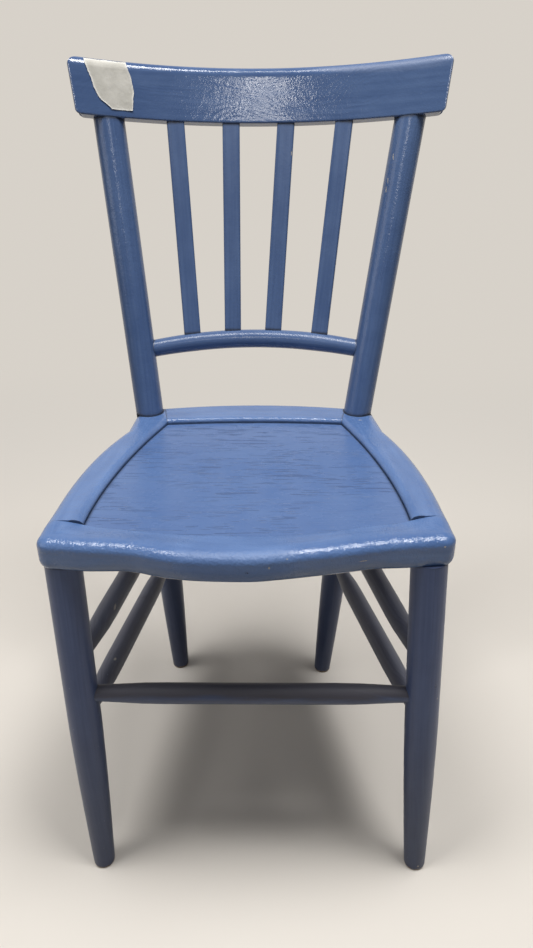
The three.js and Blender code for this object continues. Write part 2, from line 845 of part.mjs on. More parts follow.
function frontDowel(side, longer = 0) {
  const x = side * frontDowelX;
  const y = frontJoint(x);
  const reach = dowelHalf + longer;
  return [point(x, y - reach, dowelHeight), point(x, y + reach, dowelHeight)];
}

function rearDowel(side, longer = 0) {
  const x = rearJointX(rearDowelY, 0);
  const reach = dowelHalf + longer;
  return [
    point(side * (x - reach), rearDowelY, dowelHeight),
    point(side * (x + reach), rearDowelY, dowelHeight),
  ];
}

const bored = (ends, radius) => rod(ends[0], ends[1], radius + boreGap);

// A solid made in place becomes a mesh with its own origin and turn.
function placed(name, solid, finish, frame = new THREE.Matrix4()) {
  const geometry = geometryOf(solid).applyMatrix4(frame.clone().invert());
  geometry.computeVertexNormals();
  const mesh = new THREE.Mesh(geometry, new THREE.MeshStandardMaterial(finish));
  mesh.name = name;
  frame.decompose(mesh.position, mesh.quaternion, mesh.scale);
  return mesh;
}

const sides = [["left", -1], ["right", 1]];
const axes = Object.fromEntries(sides.map(([label, side]) => [label, memberAxes(side)]));
const posts = sides.map(([label]) => axes[label].post);
const railEnds = backRailEnds(posts);
const slats = slatTopX.map((_, i) => slatSetting(i, railEnds));

function buildSeat(rails) {
  const seat = new THREE.Group();
  const legTenon = ([foot, top], depth) =>
    rod(foot, top, legTenonRadius + boreGap, 0, depth + boreGap);
  const frontCuts = [];
  const rearCuts = [];
  sides.forEach(([label, side]) => {
    const { frontLeg, rearLeg, post } = axes[label];
    const postTenon = rod(
      post[0],
      post[1],
      postTenonRadius + boreGap,
      postTenonDepth + boreGap,
      0,
    );
    const front = bored(frontDowel(side, boreGap), dowelRadius);
    const rear = bored(rearDowel(side, boreGap), dowelRadius);
    frontCuts.push(legTenon(frontLeg, frontTenonDepth), front);
    rearCuts.push(rear);
    const sideCuts = [legTenon(rearLeg, rearTenonDepth), postTenon, front, rear];
    seat.add(placed("seat_rail_" + label, cut(rails[label], sideCuts), blue));
    seat.add(
      placed("front_dowel_" + label, rod(...frontDowel(side), dowelRadius), bareWood),
      placed("rear_dowel_" + label, rod(...rearDowel(side), dowelRadius), bareWood),
    );
  });
  const panel = prism(panelOutline(0), ledgeTop + joinGap, panelTop);
  seat.add(
    placed("seat_rail_front", cut(rails.front, frontCuts), blue),
    placed("seat_rail_rear", cut(rails.rear, rearCuts), blue),
    placed("seat_panel", panel, blue),
  );
  return seat;
}

function buildUnderframe() {
  const underframe = new THREE.Group();
  const crossings = {
    front: [axes.left.front, axes.right.front],
    rear: [axes.left.rear, axes.right.rear],
  };
  sides.forEach(([label, side]) => {
    const { frontLeg, rearLeg, lower, upper } = axes[label];
    const here = side < 0 ? 0 : 1;
    const crossBore = (ends) => stretcherBore(ends[here], ends[1 - here], crossStretcherEnd);
    const sideBore = ([a, b]) => stretcherBore(a, b, sideStretcherEnd);
    const frontBores = [sideBore(lower), sideBore(upper), crossBore(crossings.front)];
    const backwards = ([a, b]) => [b, a];
    const rearBores = [
      sideBore(backwards(lower)),
      sideBore(backwards(upper)),
      crossBore(crossings.rear),
    ];
    const front = cut(legSolid(frontLeg, frontTenonDepth), frontBores);
    const rear = cut(legSolid(rearLeg, rearTenonDepth), rearBores);
    underframe.add(
      placed("front_leg_" + label, front, shadedBlue, frameAlong(...frontLeg)),
      placed("rear_leg_" + label, rear, shadedBlue, frameAlong(...rearLeg)),
    );
    [["lower", lower], ["upper", upper]].forEach(([level, ends]) => {
      const solid = stretcherSolid(...ends, sideStretcherRadius, sideStretcherEnd);
      const name = "side_stretcher_" + level + "_" + label;
      underframe.add(placed(name, solid, wornBlue, frameAlong(...ends)));
    });
  });
  Object.entries(crossings).forEach(([place, ends]) => {
    const solid = stretcherSolid(...ends, crossStretcherRadius, crossStretcherEnd);
    underframe.add(placed(place + "_stretcher", solid, shadedBlue, frameAlong(...ends)));
  });
  return underframe;
}

function buildBack(rails) {
  const back = new THREE.Group();
  const crest = crestSolid();
  const slots = slats.map((setting) => slatSolid(setting, joinGap));
  const dowelBores = posts.map((post) => bored(crestDowel(post, boreGap), crestDowelRadius));
  back.add(
    placed("crest_rail", cut(crest, [...slots, ...dowelBores]), blue),
    placed("paper_label", labelSolid(), paper),
    placed("lower_back_rail", cut(backRailSolid(posts), slots), blue),
  );
  sides.forEach(([label, side], i) => {
    const tenon = backRailTenon(railEnds, i, boreGap);
    const bores = [bored(tenon, backRailTenonRadius), dowelBores[i]];
    const acrossJoint = rails.rear.translate(2 * side * joinGap, 0, 0);
    const footing = [rails[label], rails.rear, acrossJoint];
    const post = cut(postSolid(posts[i], footing, crest), bores);
    back.add(
      placed("back_post_" + label, post, blue, frameAlong(...posts[i])),
      placed("crest_dowel_" + label, rod(...crestDowel(posts[i]), crestDowelRadius), bareWood),
    );
  });
  slats.forEach((setting, i) => {
    const frame = frameAlong(setting.foot, setting.top, setting.across);
    back.add(placed("back_slat_" + (i + 1), slatSolid(setting, 0), blue, frame));
  });
  return back;
}

const chair = new THREE.Group();
const assembly = new THREE.Group();
const rails = seatRails();
assembly.add(buildSeat(rails), buildUnderframe(), buildBack(rails));
const box = new THREE.Box3().setFromObject(assembly, true);
const middle = box.getCenter(point(0, 0, 0));
assembly.position.set(-middle.x, -middle.y, -box.min.z);
chair.add(assembly);

export default chair;
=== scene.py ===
"""The painted kitchen chair: smooth surfaces and finishes over the fixed frame."""

import logging
from dataclasses import dataclass, field
from enum import Enum
from typing import Callable, Optional, Union

import bpy
import numpy as np
from mathutils import Matrix


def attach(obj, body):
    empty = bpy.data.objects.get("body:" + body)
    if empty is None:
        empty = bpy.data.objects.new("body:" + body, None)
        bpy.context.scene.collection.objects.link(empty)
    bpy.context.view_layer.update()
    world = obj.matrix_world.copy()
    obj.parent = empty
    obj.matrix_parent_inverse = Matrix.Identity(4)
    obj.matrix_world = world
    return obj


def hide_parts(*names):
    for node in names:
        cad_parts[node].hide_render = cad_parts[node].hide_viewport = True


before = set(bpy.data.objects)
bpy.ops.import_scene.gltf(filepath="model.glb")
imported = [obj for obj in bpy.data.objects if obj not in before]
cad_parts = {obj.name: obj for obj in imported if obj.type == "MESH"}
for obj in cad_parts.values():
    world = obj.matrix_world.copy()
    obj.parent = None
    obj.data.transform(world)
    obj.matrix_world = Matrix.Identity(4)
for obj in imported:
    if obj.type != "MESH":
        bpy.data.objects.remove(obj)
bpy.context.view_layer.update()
log = logging.getLogger("chair")

Colour = tuple[float, float, float]
Spot = tuple[Colour, Colour]
Test = Callable[[np.ndarray], np.ndarray]
Pair = tuple[float, float]
Line = tuple[np.ndarray, np.ndarray]
Marks = Optional[np.ndarray]
Finish = bpy.types.Material

MM = 0.001
SHIFT = np.array([-8.5, -193.61, 0.0])
UPRIGHT = [0.0, 0.0, 1.0]
SHORT_OF_ONE = 0.999

SEAT_HEIGHT = 441.0
UNDERSIDE = 407.0
PANEL_TOP = 435.0
PANEL_LOW = 430.0
LEDGE_TOP = 429.7
LIP = (12.0, 11.0)
HEEL = (5.5, 9.0)
EAR_HALF = 128.9
EAR_BACK = 294.0
EAR_RADIUS = 18.2
POST_RADIUS = 16.7
POST_TOP_RADIUS = 17.4
POST_TOP_HALF = 171.3
POST_TOP = np.array([8.5, 376.0, 765.0])
RAKE = np.arctan2(POST_TOP[1] - EAR_BACK, POST_TOP[2] - SEAT_HEIGHT)
UP = np.array([0.0, np.sin(RAKE), np.cos(RAKE)])
BACK = np.array([0.0, np.cos(RAKE), -np.sin(RAKE)])


def unit(vectors: np.ndarray) -> np.ndarray:
    """Vectors along the last axis, made one long."""
    return vectors / np.linalg.norm(vectors, axis=-1, keepdims=True)


def ease(t: np.ndarray) -> np.ndarray:
    """The smooth step from 0 to 1."""
    t = np.clip(t, 0.0, 1.0)
    return t * t * (3.0 - 2.0 * t)


def rounding(share: np.ndarray, most: float = 1.0) -> np.ndarray:
    """How far a round edge of radius 1 has fallen: 1 less the root of 1 less the share squared.

    Args:
        share: how far over the rounding, from 0 to 1.
        most: the largest square of it; under 1, the last step isn't quite upright.

    Returns:
        The fall, from 0 to about 1.
    """
    return 1.0 - np.sqrt(1.0 - share**2 * most)


def quarter(count: int) -> np.ndarray:
    """Turns from 0 to a right angle."""
    return np.linspace(0.0, np.pi / 2, count)


def arc(centre: Pair, radii: Pair, count: int) -> np.ndarray:
    """A quarter of an ellipse about a centre, from its end on the first axis to that on the second."""
    turn = quarter(count)
    return np.array(centre) + np.stack([np.cos(turn), np.sin(turn)], 1) * radii


def between(start: Pair, end: Pair, count: int) -> np.ndarray:
    """Points on a straight line without its two ends."""
    return np.linspace(start, end, count)[1:-1]


def spline(points: np.ndarray, t: np.ndarray) -> np.ndarray:
    """A uniform Catmull-Rom curve.

    Args:
        points: the points that it runs through, as rows.
        t: places on it, from 0 to 1.

    Returns:
        One row for each place.
    """
    last = len(points) - 1
    place = np.clip(t, 0.0, 1.0) * last
    i = np.minimum(place.astype(int), last - 1)
    w = (place - i)[:, None]
    p0, p1 = points[np.maximum(i - 1, 0)], points[i]
    p2, p3 = points[i + 1], points[np.minimum(i + 2, last)]
    b = (p2 - p0) * w
    c = (2.0 * p0 - 5.0 * p1 + 4.0 * p2 - p3) * w**2
    d = (3.0 * p1 - p0 - 3.0 * p2 + p3) * w**3
    return 0.5 * (2.0 * p1 + b + c + d)


def at_shares(line: np.ndarray, share: np.ndarray) -> np.ndarray:
    """Points of a line at shares of its count of points."""
    place = share * (len(line) - 1.0)
    index = np.arange(len(line))
    return np.stack([np.interp(place, index, column) for column in line.T], 1)


def evenly(points: np.ndarray, count: int) -> np.ndarray:
    """The same line with points an equal distance apart."""
    steps = np.linalg.norm(np.diff(points, axis=0), axis=1)
    run = np.concatenate([[0.0], np.cumsum(steps)])
    at = np.linspace(0.0, run[-1], count)
    return np.stack([np.interp(at, run, column) for column in points.T], axis=1)


def filled_ring(ring: np.ndarray, fill: int, long: float = 3.0) -> np.ndarray:
    """A ring with extra points on its long straight stretches."""
    out = []
    for a, b in zip(ring, np.roll(ring, -1, axis=0)):
        count = fill if np.linalg.norm(b - a) > long else 1
        out.append(a + (b - a) * np.arange(count)[:, None] / count)
    return np.concatenate(out)


def leaving(near: np.ndarray, far: np.ndarray, inside: Test, steps: int = 28) -> np.ndarray:
    """Finds where lines leave a body, by halving the stretch in question again and again.

    Args:
        near: a place on each line that is inside the body.
        far: one that is outside it.
        inside: tells which places are inside the body.
        steps: how often the stretch is halved.

    Returns:
        The place on each line.
    """
    for _ in range(steps):
        middle = 0.5 * (near + far)
        within = inside(middle)
        near = np.where(within, middle, near)
        far = np.where(within, far, middle)
    return 0.5 * (near + far)


def lengths(points: np.ndarray) -> np.ndarray:
    """Texture lengths of a ring grid: along the rings' middles, then round each ring."""
    middle = points.mean(1)
    along = np.concatenate([[0.0], np.cumsum(np.linalg.norm(np.diff(middle, axis=0), axis=1))])
    steps = np.linalg.norm(np.diff(points, axis=1), axis=2)
    around = np.concatenate([np.zeros((len(points), 1)), np.cumsum(steps, axis=1)], axis=1)
    along = np.broadcast_to(along[:, None], around.shape)
    return np.stack([along, around], -1) * MM


def end_marks(points: np.ndarray, reach: float, low: float = 0.0, high: float = 0.0) -> np.ndarray:
    """How near each point of a ring grid is to the member's two ends.

    Args:
        points: the ring grid.
        reach: how far the mark spreads, in millimetres.
        low: how much of the first end is hidden in its neighbour.
        high: how much of the last end is.

    Returns:
        1 at the ends that show, falling to 0.
    """
    steps = np.linalg.norm(np.diff(points, axis=0), axis=2)
    run = np.concatenate([np.zeros((1, points.shape[1])), np.cumsum(steps, axis=0)])
    first = np.exp(-((np.clip(run - low, 0.0, None) / reach) ** 2))
    last = np.exp(-((np.clip(run[-1:] - run - high, 0.0, None) / reach) ** 2))
    return np.maximum(first, last)


def distance_to_axis(points: np.ndarray, low: np.ndarray, high: np.ndarray) -> np.ndarray:
    """How far points are from the line through two points."""
    axis = unit(high - low)
    offset = points - low
    return np.linalg.norm(offset - (offset @ axis)[..., None] * axis, axis=-1)


@dataclass
class Surface:
    """A grid of points that closes round one way and is capped at both ends.

    Attributes:
        name: the object's name.
        points: rings by points in a ring by three, in millimetres.
        seam: how near each point is to a joint, from 0 to 1.
        sharp_from: the angle from which an edge stays sharp.
    """

    name: str
    points: np.ndarray
    seam: Marks = None
    sharp_from: float = np.radians(48.0)

    def build(self, finish: Finish) -> bpy.types.Object:
        """The grid as a mesh object with a finish, in metres, in the part's frame."""
        rings, around = self.points.shape[:2]
        ends = np.stack([self.points[0].mean(0), self.points[-1].mean(0)])
        places = (np.concatenate([self.points.reshape(-1, 3), ends]) + SHIFT) * MM
        i, j = np.meshgrid(np.arange(rings - 1), np.arange(around), indexing="ij")
        here, beside = i * around + j, i * around + (j + 1) % around
        quads = np.stack([here, beside, beside + around, here + around], -1)
        j = np.arange(around)
        k = (j + 1) % around
        top = (rings - 1) * around
        first = np.stack([k, j, np.full(around, rings * around)], -1)
        last = np.stack([top + j, top + k, np.full(around, rings * around + 1)], -1)
        mesh = bpy.data.meshes.new(self.name)
        faces = quads.reshape(-1, 4).tolist() + first.tolist() + last.tolist()
        mesh.from_pydata(places.tolist(), [], faces)
        self._map(mesh, rings, around)
        self._mark(mesh)
        mesh.shade_smooth()
        mesh.set_sharp_from_angle(angle=self.sharp_from)
        mesh.materials.append(finish)
        piece = bpy.data.objects.new(self.name, mesh)
        bpy.context.scene.collection.objects.link(piece)
        self._face_out(mesh)
        return piece

    def _mark(self, mesh: bpy.types.Mesh) -> None:
        """Writes how near each point is to a joint, and how far it faces up."""
        seam = np.zeros(self.points.shape[:2]) if self.seam is None else self.seam
        over = unit(self.points - self.points.mean(1, keepdims=True) + 1e-9)[..., 2]
        for name, values in (("seam", seam), ("over", over)):
            whole = np.concatenate([values.ravel(), values[[0, -1]].mean(1)])
            layer = mesh.attributes.new(name, "FLOAT", "POINT")
            layer.data.foreach_set("value", whole.astype(np.float32))

    def _map(self, mesh: bpy.types.Mesh, rings: int, around: int) -> None:
        """Writes the texture lengths, carried past the seam in the last column."""
        uv = lengths(self.points)
        wide = np.concatenate([uv, uv[:, :1]], axis=1)
        step = np.linalg.norm(self.points[:, -1] - self.points[:, 0], axis=-1) * MM
        wide[:, -1, 1] = uv[:, -1, 1] + step
        i, j = np.meshgrid(np.arange(rings - 1), np.arange(around), indexing="ij")
        loops = np.stack([wide[i, j], wide[i, j + 1], wide[i + 1, j + 1], wide[i + 1, j]], 2)
        j = np.arange(around)
        first = np.stack([wide[0, j + 1], wide[0, j], uv[0].mean(0) + 0 * wide[0, j]], 1)
        last = np.stack([wide[-1, j], wide[-1, j + 1], uv[-1].mean(0) + 0 * wide[-1, j]], 1)
        flat = np.concatenate([part.reshape(-1, 2) for part in (loops, first, last)])
        layer = mesh.uv_layers.new(name="run")
        layer.data.foreach_set("uv", flat.astype(np.float32).ravel())

    @staticmethod
    def _face_out(mesh: bpy.types.Mesh) -> None:
        """Turns the faces round if the closed surface holds a negative volume."""
        places = np.zeros(len(mesh.vertices) * 3)
        mesh.vertices.foreach_get("co", places)
        places = places.reshape(-1, 3) - places.reshape(-1, 3).mean(0)
        mesh.calc_loop_triangles()
        corners = np.zeros(len(mesh.loop_triangles) * 3, int)
        mesh.loop_triangles.foreach_get("vertices", corners)
        a, b, c = (places[corners.reshape(-1, 3)[:, n]] for n in range(3))
        if np.einsum("ij,ij->i", a, np.cross(b, c)).sum() < 0:
            mesh.flip_normals()


@dataclass
class Turned:
    """A turned member between two points.

    Attributes:
        low: the start of its axis.
        high: the end of its axis.
        radius: gives the radius at each distance along the axis.
        around: points round it.
        rings: rings along it.
    """

    low: np.ndarray
    high: np.ndarray
    radius: Test
    around: int = 56
    rings: int = 150

    @property
    def length(self) -> float:
        """The distance between its two points."""
        return float(np.linalg.norm(self.high - self.low))

    @property
    def turns(self) -> np.ndarray:
        """Turns round the member."""
        return np.linspace(0.0, 2.0 * np.pi, self.around, endpoint=False)

    def skin(self, along: np.ndarray, turn: np.ndarray) -> np.ndarray:
        """Points on its skin at distances along it and turns round it."""
        axis = unit(self.high - self.low)
        level = UPRIGHT if abs(axis[2]) < 0.9 else [0.0, 1.0, 0.0]
        side = unit(np.cross(axis, level))
        outward = np.cos(turn)[..., None] * side + np.sin(turn)[..., None] * np.cross(axis, side)
        return self.low + along[..., None] * axis + self.radius(along)[..., None] * outward

    def reach(self, near: float, far: float, inside: Test) -> np.ndarray:
        """Finds how far along the axis each line of the skin leaves a body.

        Args:
            near: a distance along the axis at which every line is inside the body.
            far: one at which every line is outside it.
            inside: tells which points are inside the body.

        Returns:
            The distance along the axis for each turn.
        """
        ends = np.full(self.around, near), np.full(self.around, far)
        return leaving(*ends, lambda along: inside(self.skin(along, self.turns)))

    def grid(self, start: np.ndarray, stop: np.ndarray) -> np.ndarray:
        """Ring points between a start and a stop that differ round the member."""
        share = np.linspace(0.0, 1.0, self.rings)[:, None]
        along = start + (stop - start) * share
        return self.skin(along, np.broadcast_to(self.turns, along.shape))


class Side(Enum):
    """The two sides of the picture, as the sign of X."""

    LEFT = -1
    RIGHT = 1

    @property
    def label(self) -> str:
        """The word used in node names."""
        return self.name.lower()


@dataclass(frozen=True)
class Axes:
    """The axes of one side's members, from the floor up or from front to back."""

    side: Side

    def leg(self, front: bool) -> Line:
        """The foot and the top of a leg."""
        s = self.side.value
        if front:
            return np.array([179 * s + 6.8, 3.0, 0.0]), np.array([168 * s - 1.9, 16.0, UNDERSIDE])
        foot = np.array([110.5 * s - 12.3, 329.5 - 4.5 * s, 0.0])
        return foot, np.array([125.5 * s - 3.5, EAR_BACK, UNDERSIDE])

    def on_leg(self, front: bool, height: float) -> np.ndarray:
        """The point of a leg's axis at a height."""
        foot, top = self.leg(front)
        return foot + (top - foot) * height / UNDERSIDE

    def post(self) -> Line:
        """The foot and the top of a back post."""
        s = self.side.value
        foot = np.array([EAR_HALF * s - 1.7, EAR_BACK, SEAT_HEIGHT])
        return foot, np.array([POST_TOP_HALF * s + 7.0, POST_TOP[1], POST_TOP[2]])

    def on_post(self, height: float) -> np.ndarray:
        """The point of a post's axis at a height."""
        foot, top = self.post()
        return foot + (top - foot) * (height - foot[2]) / (top[2] - foot[2])


def leg_radius(along: np.ndarray) -> np.ndarray:
    """A leg's radius: a small rounded foot, a swelling taper, then straight."""
    foot, full, swelling, bevel = 11.8, 17.0, np.pi / 2 * 0.85, 3.5
    t = np.clip((along - bevel) / 211.5, 0.0, 1.0)
    taper = foot + (full - foot) * np.sin(t * swelling) / np.sin(swelling)
    return taper - bevel * rounding(1.0 - np.clip((along + 1.2) / 4.7, 0.0, 1.0))


def post_radius(along: np.ndarray) -> np.ndarray:
    """A back post's radius, a little larger at the top."""
    return POST_RADIUS + (POST_TOP_RADIUS - POST_RADIUS) * np.clip(along / 337.0, -0.1, 1.1)


def stretcher_radius(length: float, middle: float, end: float) -> Test:
    """The radius of a stretcher that swells from its ends to an even middle."""
    stops = [17.0, 41.8, 63.5, 85.2]
    sizes = [end + (middle - end) * share for share in (0.0, 0.45, 0.88, 1.0)]

    def radius(along: np.ndarray) -> np.ndarray:
        """The radius at distances along the stretcher."""
        return np.interp(np.minimum(along, length - along), stops, sizes)

    return radius


@dataclass
class Assembly:
    """A part of the chair whose pieces take the places of their nodes."""

    finish: "Finishes"
    pieces: list[bpy.types.Object] = field(default_factory=list)

    def add(self, name: str, points: np.ndarray, paint: Finish, slot: str, seam: Marks = None) -> None:
        """Builds a ring grid and puts it in the place of its node.

        Args:
            name: the node's name.
            points: the ring grid, in millimetres.
            paint: its finish.
            slot: not used.
            seam: how near each point is to a joint.
        """
        piece = Surface(name, points, seam).build(paint)
        piece.name = name + "_skin"
        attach(piece, "root")
        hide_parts(name)
        self.pieces.append(piece)


@dataclass
class Underframe(Assembly):
    """Legs and stretchers.

    A pair of heights is at the front and the rear leg, or of the front and the rear stretcher;
    a pair of radii is in the middle and at the ends.
    """

    side_heights: dict[str, Pair] = field(
        default_factory=lambda: {"lower": (216.0, 209.0), "upper": (287.0, 285.0)}
    )
    cross_heights: Pair = (249.0, 248.0)
    side_radii: Pair = (11.4, 7.6)
    cross_radii: Pair = (10.6, 8.2)
    gap: float = 0.3
    let_in: float = 1.5

    def build(self) -> None:
        """Makes every leg and stretcher."""
        paint = self.finish.side_stretcher
        for side in Side:
            axes = Axes(side)
            for front in (True, False):
                self._leg(axes, front)
            for level, (ahead, behind) in self.side_heights.items():
                run = axes.on_leg(True, ahead), axes.on_leg(False, behind)
                ends = axes.leg(True), axes.leg(False)
                self._stretcher(f"side_stretcher_{level}_{side.label}", run, ends, self.side_radii, paint)
        left, right = Axes(Side.LEFT), Axes(Side.RIGHT)
        for name, front, height, paint in (
            ("front_stretcher", True, self.cross_heights[0], self.finish.front_stretcher),
            ("rear_stretcher", False, self.cross_heights[1], self.finish.side_stretcher),
        ):
            run = left.on_leg(front, height), right.on_leg(front, height)
            self._stretcher(name, run, (left.leg(front), right.leg(front)), self.cross_radii, paint)

    def _leg(self, axes: Axes, front: bool) -> None:
        """One leg, level at the floor and scribed to the seat's underside."""
        member = Turned(*axes.leg(front), leg_radius, rings=220)
        start = member.reach(-6.0, 12.0, lambda p: p[..., 2] < 0.0)
        below, above = member.length - 20.0, member.length + 20.0
        level = UNDERSIDE - self.gap
        stop = member.reach(below, above, lambda p: p[..., 2] < level)
        level = level + Plan().heel_rise(member.skin(stop, member.turns))
        stop = member.reach(below, above, lambda p: p[..., 2] < level)
        name = f"{'front' if front else 'rear'}_leg_{axes.side.label}"
        points = member.grid(start, stop)
        self.add(name, points, self.finish.leg, "leg_paint", 0.5 * end_marks(points, 1.2))

    def _stretcher(self, name: str, run: Line, ends: tuple[Line, Line], radii: Pair, paint: Finish) -> None:
        """One stretcher, scribed to the two legs that it runs between.

        Args:
            name: its node's name.
            run: the two ends of its axis.
            ends: the axes of the two legs.
            radii: its radius in the middle and at its ends.
            paint: its finish.
        """
        length = float(np.linalg.norm(run[1] - run[0]))
        member = Turned(*run, stretcher_radius(length, *radii), rings=160)

        def within(which: int) -> Test:
            """A test for the inside of one of the two legs."""
            return lambda p: distance_to_axis(p, *ends[which]) < leg_radius(p[..., 2]) - self.let_in

        start = member.reach(4.0, 40.0, within(0))
        stop = member.reach(length - 4.0, length - 40.0, within(1))
        points = member.grid(start, stop)
        self.add(name, points, paint, "stretcher_paint", 0.5 * end_marks(points, 1.2))


@dataclass
class Back(Assembly):
    """Posts, slats, crest rail, lower back rail and the paper label.

    The crest rail's half width is at its lower edge, and its bend and rise are those of its ends.
    A rounding is a width and a height, or one radius. Each slat has the X of its top and its foot,
    and slat_half is half its width and half its thickness.
    """

    half: float = 204.0
    bend: float = 37.0
    rise: float = 2.5
    height: float = 59.5
    thick: float = 18.0
    front_round: Pair = (8.5, 11.0)
    rear_high: float = 9.0
    rim: float = 1.5
    end_round: float = 2.4
    rail_height: float = 513.0
    rail_radius: float = 11.0
    rail_bow: tuple[float, float, float] = (0.0, 23.0, 8.7)
    slats: tuple[Pair, ...] = ((-97.8, -76.3), (-34.4, -27.3), (29.2, 21.9), (95.7, 78.2))
    slat_half: Pair = (10.0, 4.0)
    crest_origin: np.ndarray = field(init=False)

    def __post_init__(self) -> None:
        """Finds the middle of the crest rail's lower front edge."""
        share = (POST_TOP_HALF / self.half) ** 2
        self.crest_origin = POST_TOP + BACK * (self.bend * share - POST_TOP_RADIUS) - UP * (self.rise * share)

    def build(self) -> None:
        """Makes every piece of the back."""
        for side in Side:
            self._post(Axes(side))
        self._crest()
        self._label()
        self._lower_rail()
        for i, (top, foot) in enumerate(self.slats):
            self._slat(i + 1, top, foot)

    def crest_slope(self, x: np.ndarray) -> np.ndarray:
        """The slope of the crest rail's bend, a parabola."""
        return 2.0 * self.bend * x / self.half**2

    def crest_point(self, x: np.ndarray, depth: np.ndarray, height: np.ndarray) -> np.ndarray:
        """A point of the bent crest rail.

        Args:
            x: distance sideways from its middle.
            depth: distance back from its face, square to the bend.
            height: distance up its raked face.

        Returns:
            Points in the frame of the feet.
        """
        station = np.array(x, float)
        for _ in range(4):
            slope = self.crest_slope(station)
            station = x - depth * slope / np.sqrt(1.0 + slope**2)
        share = (station / self.half) ** 2
        back = -self.bend * share + depth / np.sqrt(1.0 + self.crest_slope(station) ** 2)
        up = height + self.rise * share
        aside = np.broadcast_to(x, up.shape)[..., None] * np.array([1.0, 0.0, 0.0])
        return self.crest_origin + aside + back[..., None] * BACK + up[..., None] * UP

    def crest_half(self, height: np.ndarray) -> np.ndarray:
        """Half the crest rail's width at a height up its face: slanted ends, round corners."""
        corner, small = 9.5, 4.0
        full = self.height - corner
        slant = np.interp(height, [0.0, full], [self.half, self.half + 6.0])
        above = np.clip((height - full) / corner, 0.0, 1.0)
        under = np.clip((small - height) / small, 0.0, 1.0)
        return slant - corner * rounding(above, SHORT_OF_ONE) - small * rounding(under, SHORT_OF_ONE)

    def _crest(self) -> None:
        """The crest rail as one section carried along its bend."""
        wide, high = self.front_round
        top, rear_top, rim, thick = self.height - high, self.height - self.rear_high, self.rim, self.thick
        low_front = arc((rim, rim), (-rim, -rim), 6)[::-1]
        loop = np.concatenate(
            [
                low_front[-1:],
                between((0.0, rim), (0.0, top), 32),
                arc((wide, top), (-wide, high), 14),
                arc((wide, rear_top), (thick - wide, self.rear_high), 14)[::-1][1:],
                between((thick, rear_top), (thick, rim), 26),
                arc((thick - rim, rim), (rim, -rim), 6),
                between((thick - rim, 0.0), (rim, 0.0), 7),
                low_front[:-1],
            ]
        )
        share = np.sin(np.linspace(-np.pi / 2, np.pi / 2, 260)) * 0.25 + np.linspace(-1, 1, 260) * 0.75
        depth, height = loop.T
        x = share[:, None] * self.crest_half(height)[None, :]
        mean_half = self.half + 3.0
        edge = np.clip(1.0 - (1.0 - np.abs(share)) * mean_half / self.end_round, 0.0, 1.0)
        inset = self.end_round * rounding(edge, SHORT_OF_ONE)[:, None]
        depths = depth + inset * (1.0 - depth / (thick / 2.0))
        heights = height + inset * (1.0 - height / (self.height / 2.0)) * 0.3
        points = self.crest_point(x, depths, heights)
        self.add("crest_rail", points, self.finish.crest, "back_paint")

    def _label(self) -> None:
        """The torn paper label on the crest rail's face."""
        rng = np.random.default_rng(7)
        low, high, rows, columns = 7.6, 49.2, 90, 60
        outline_left = [-164.6, -178.0, -183.4, -186.0, -193.5], [7.4, 18.5, 28.5, 38.0, 57.2]
        outline_right = [-143.4, -141.5, -144.0, -150.0], [8.0, 27.0, 42.0, 56.8]
        height = np.linspace(0.0, 1.0, rows)
        left = np.interp(low + 49.4 * height, *outline_left[::-1])
        right = np.interp(low + 49.0 * height, *outline_right[::-1])

        def torn(count: int, width: int) -> np.ndarray:
            """A ragged line: random steps, each evened out with its neighbours."""
            return np.convolve(rng.normal(0.0, 1.0, count + 8), np.ones(width) / width, "same")[4:-4]

        left = left + 0.5 * torn(rows, 4)
        right = right + 0.35 * torn(rows, 4)
        across = np.linspace(0.0, 1.0, columns)
        x = left[:, None] + (right - left)[:, None] * across
        ragged = 0.5 * torn(columns, 3)
        base = low + high * height[:, None] + ragged * (1.0 - 2.0 * height[:, None]) * 0.5
        curl = 0.35 * (np.clip(np.abs(2.0 * across - 1.0) - 0.9, 0.0, 1.0) * 10.0) ** 2
        wave = 0.12 * np.sin(x * 0.31 + base * 0.17) + curl
        face, rear = (self._over_crest(x, base, out + wave) for out in (0.62, 0.3))
        sheet = np.concatenate([face, rear[:, ::-1]], axis=1)
        from_side = np.minimum(across, 1.0 - across) * 40.0
        from_end = np.minimum(height, 1.0 - height)[:, None] * 49.0
        rim = np.exp(-((np.minimum(from_side, from_end) / 1.3) ** 2))
        self.add("paper_label", sheet, self.finish.paper, "label_paper", np.concatenate([rim, rim], axis=1))

    def _over_crest(self, x: np.ndarray, run: np.ndarray, out: np.ndarray) -> np.ndarray:
        """Points that lie off the crest rail's face, over the start of its rounded top."""
        wide, high = self.front_round
        top = self.height - high
        turn = np.arcsin(np.clip((run - top) / high, 0.0, SHORT_OF_ONE))
        depth = np.where(run > top, wide - (wide + out) * np.cos(turn), -out)
        height = np.where(run > top, top + (high + out) * np.sin(turn), run)
        return self.crest_point(x, depth, height)

    def _post(self, axes: Axes) -> None:
        """A post: scribed to the seat at its foot and pared off behind at its top."""
        foot, top = axes.post()
        gap, pared = 0.2, 48.0
        member = Turned(foot, top, post_radius, rings=240, around=72)
        start = member.reach(-20.0, 30.0, lambda p: p[..., 2] < SEAT_HEIGHT)
        level = SEAT_HEIGHT + gap - Plan().lip_drop(member.skin(start, member.turns))
        start = member.reach(-20.0, 30.0, lambda p: p[..., 2] < level)

        def below_crest(points: np.ndarray) -> np.ndarray:
            """Tells which points are still under the crest rail's lower edge."""
            offset = points - self.crest_origin
            return offset @ UP < self.rise * (offset[..., 0] / self.half) ** 2 - gap

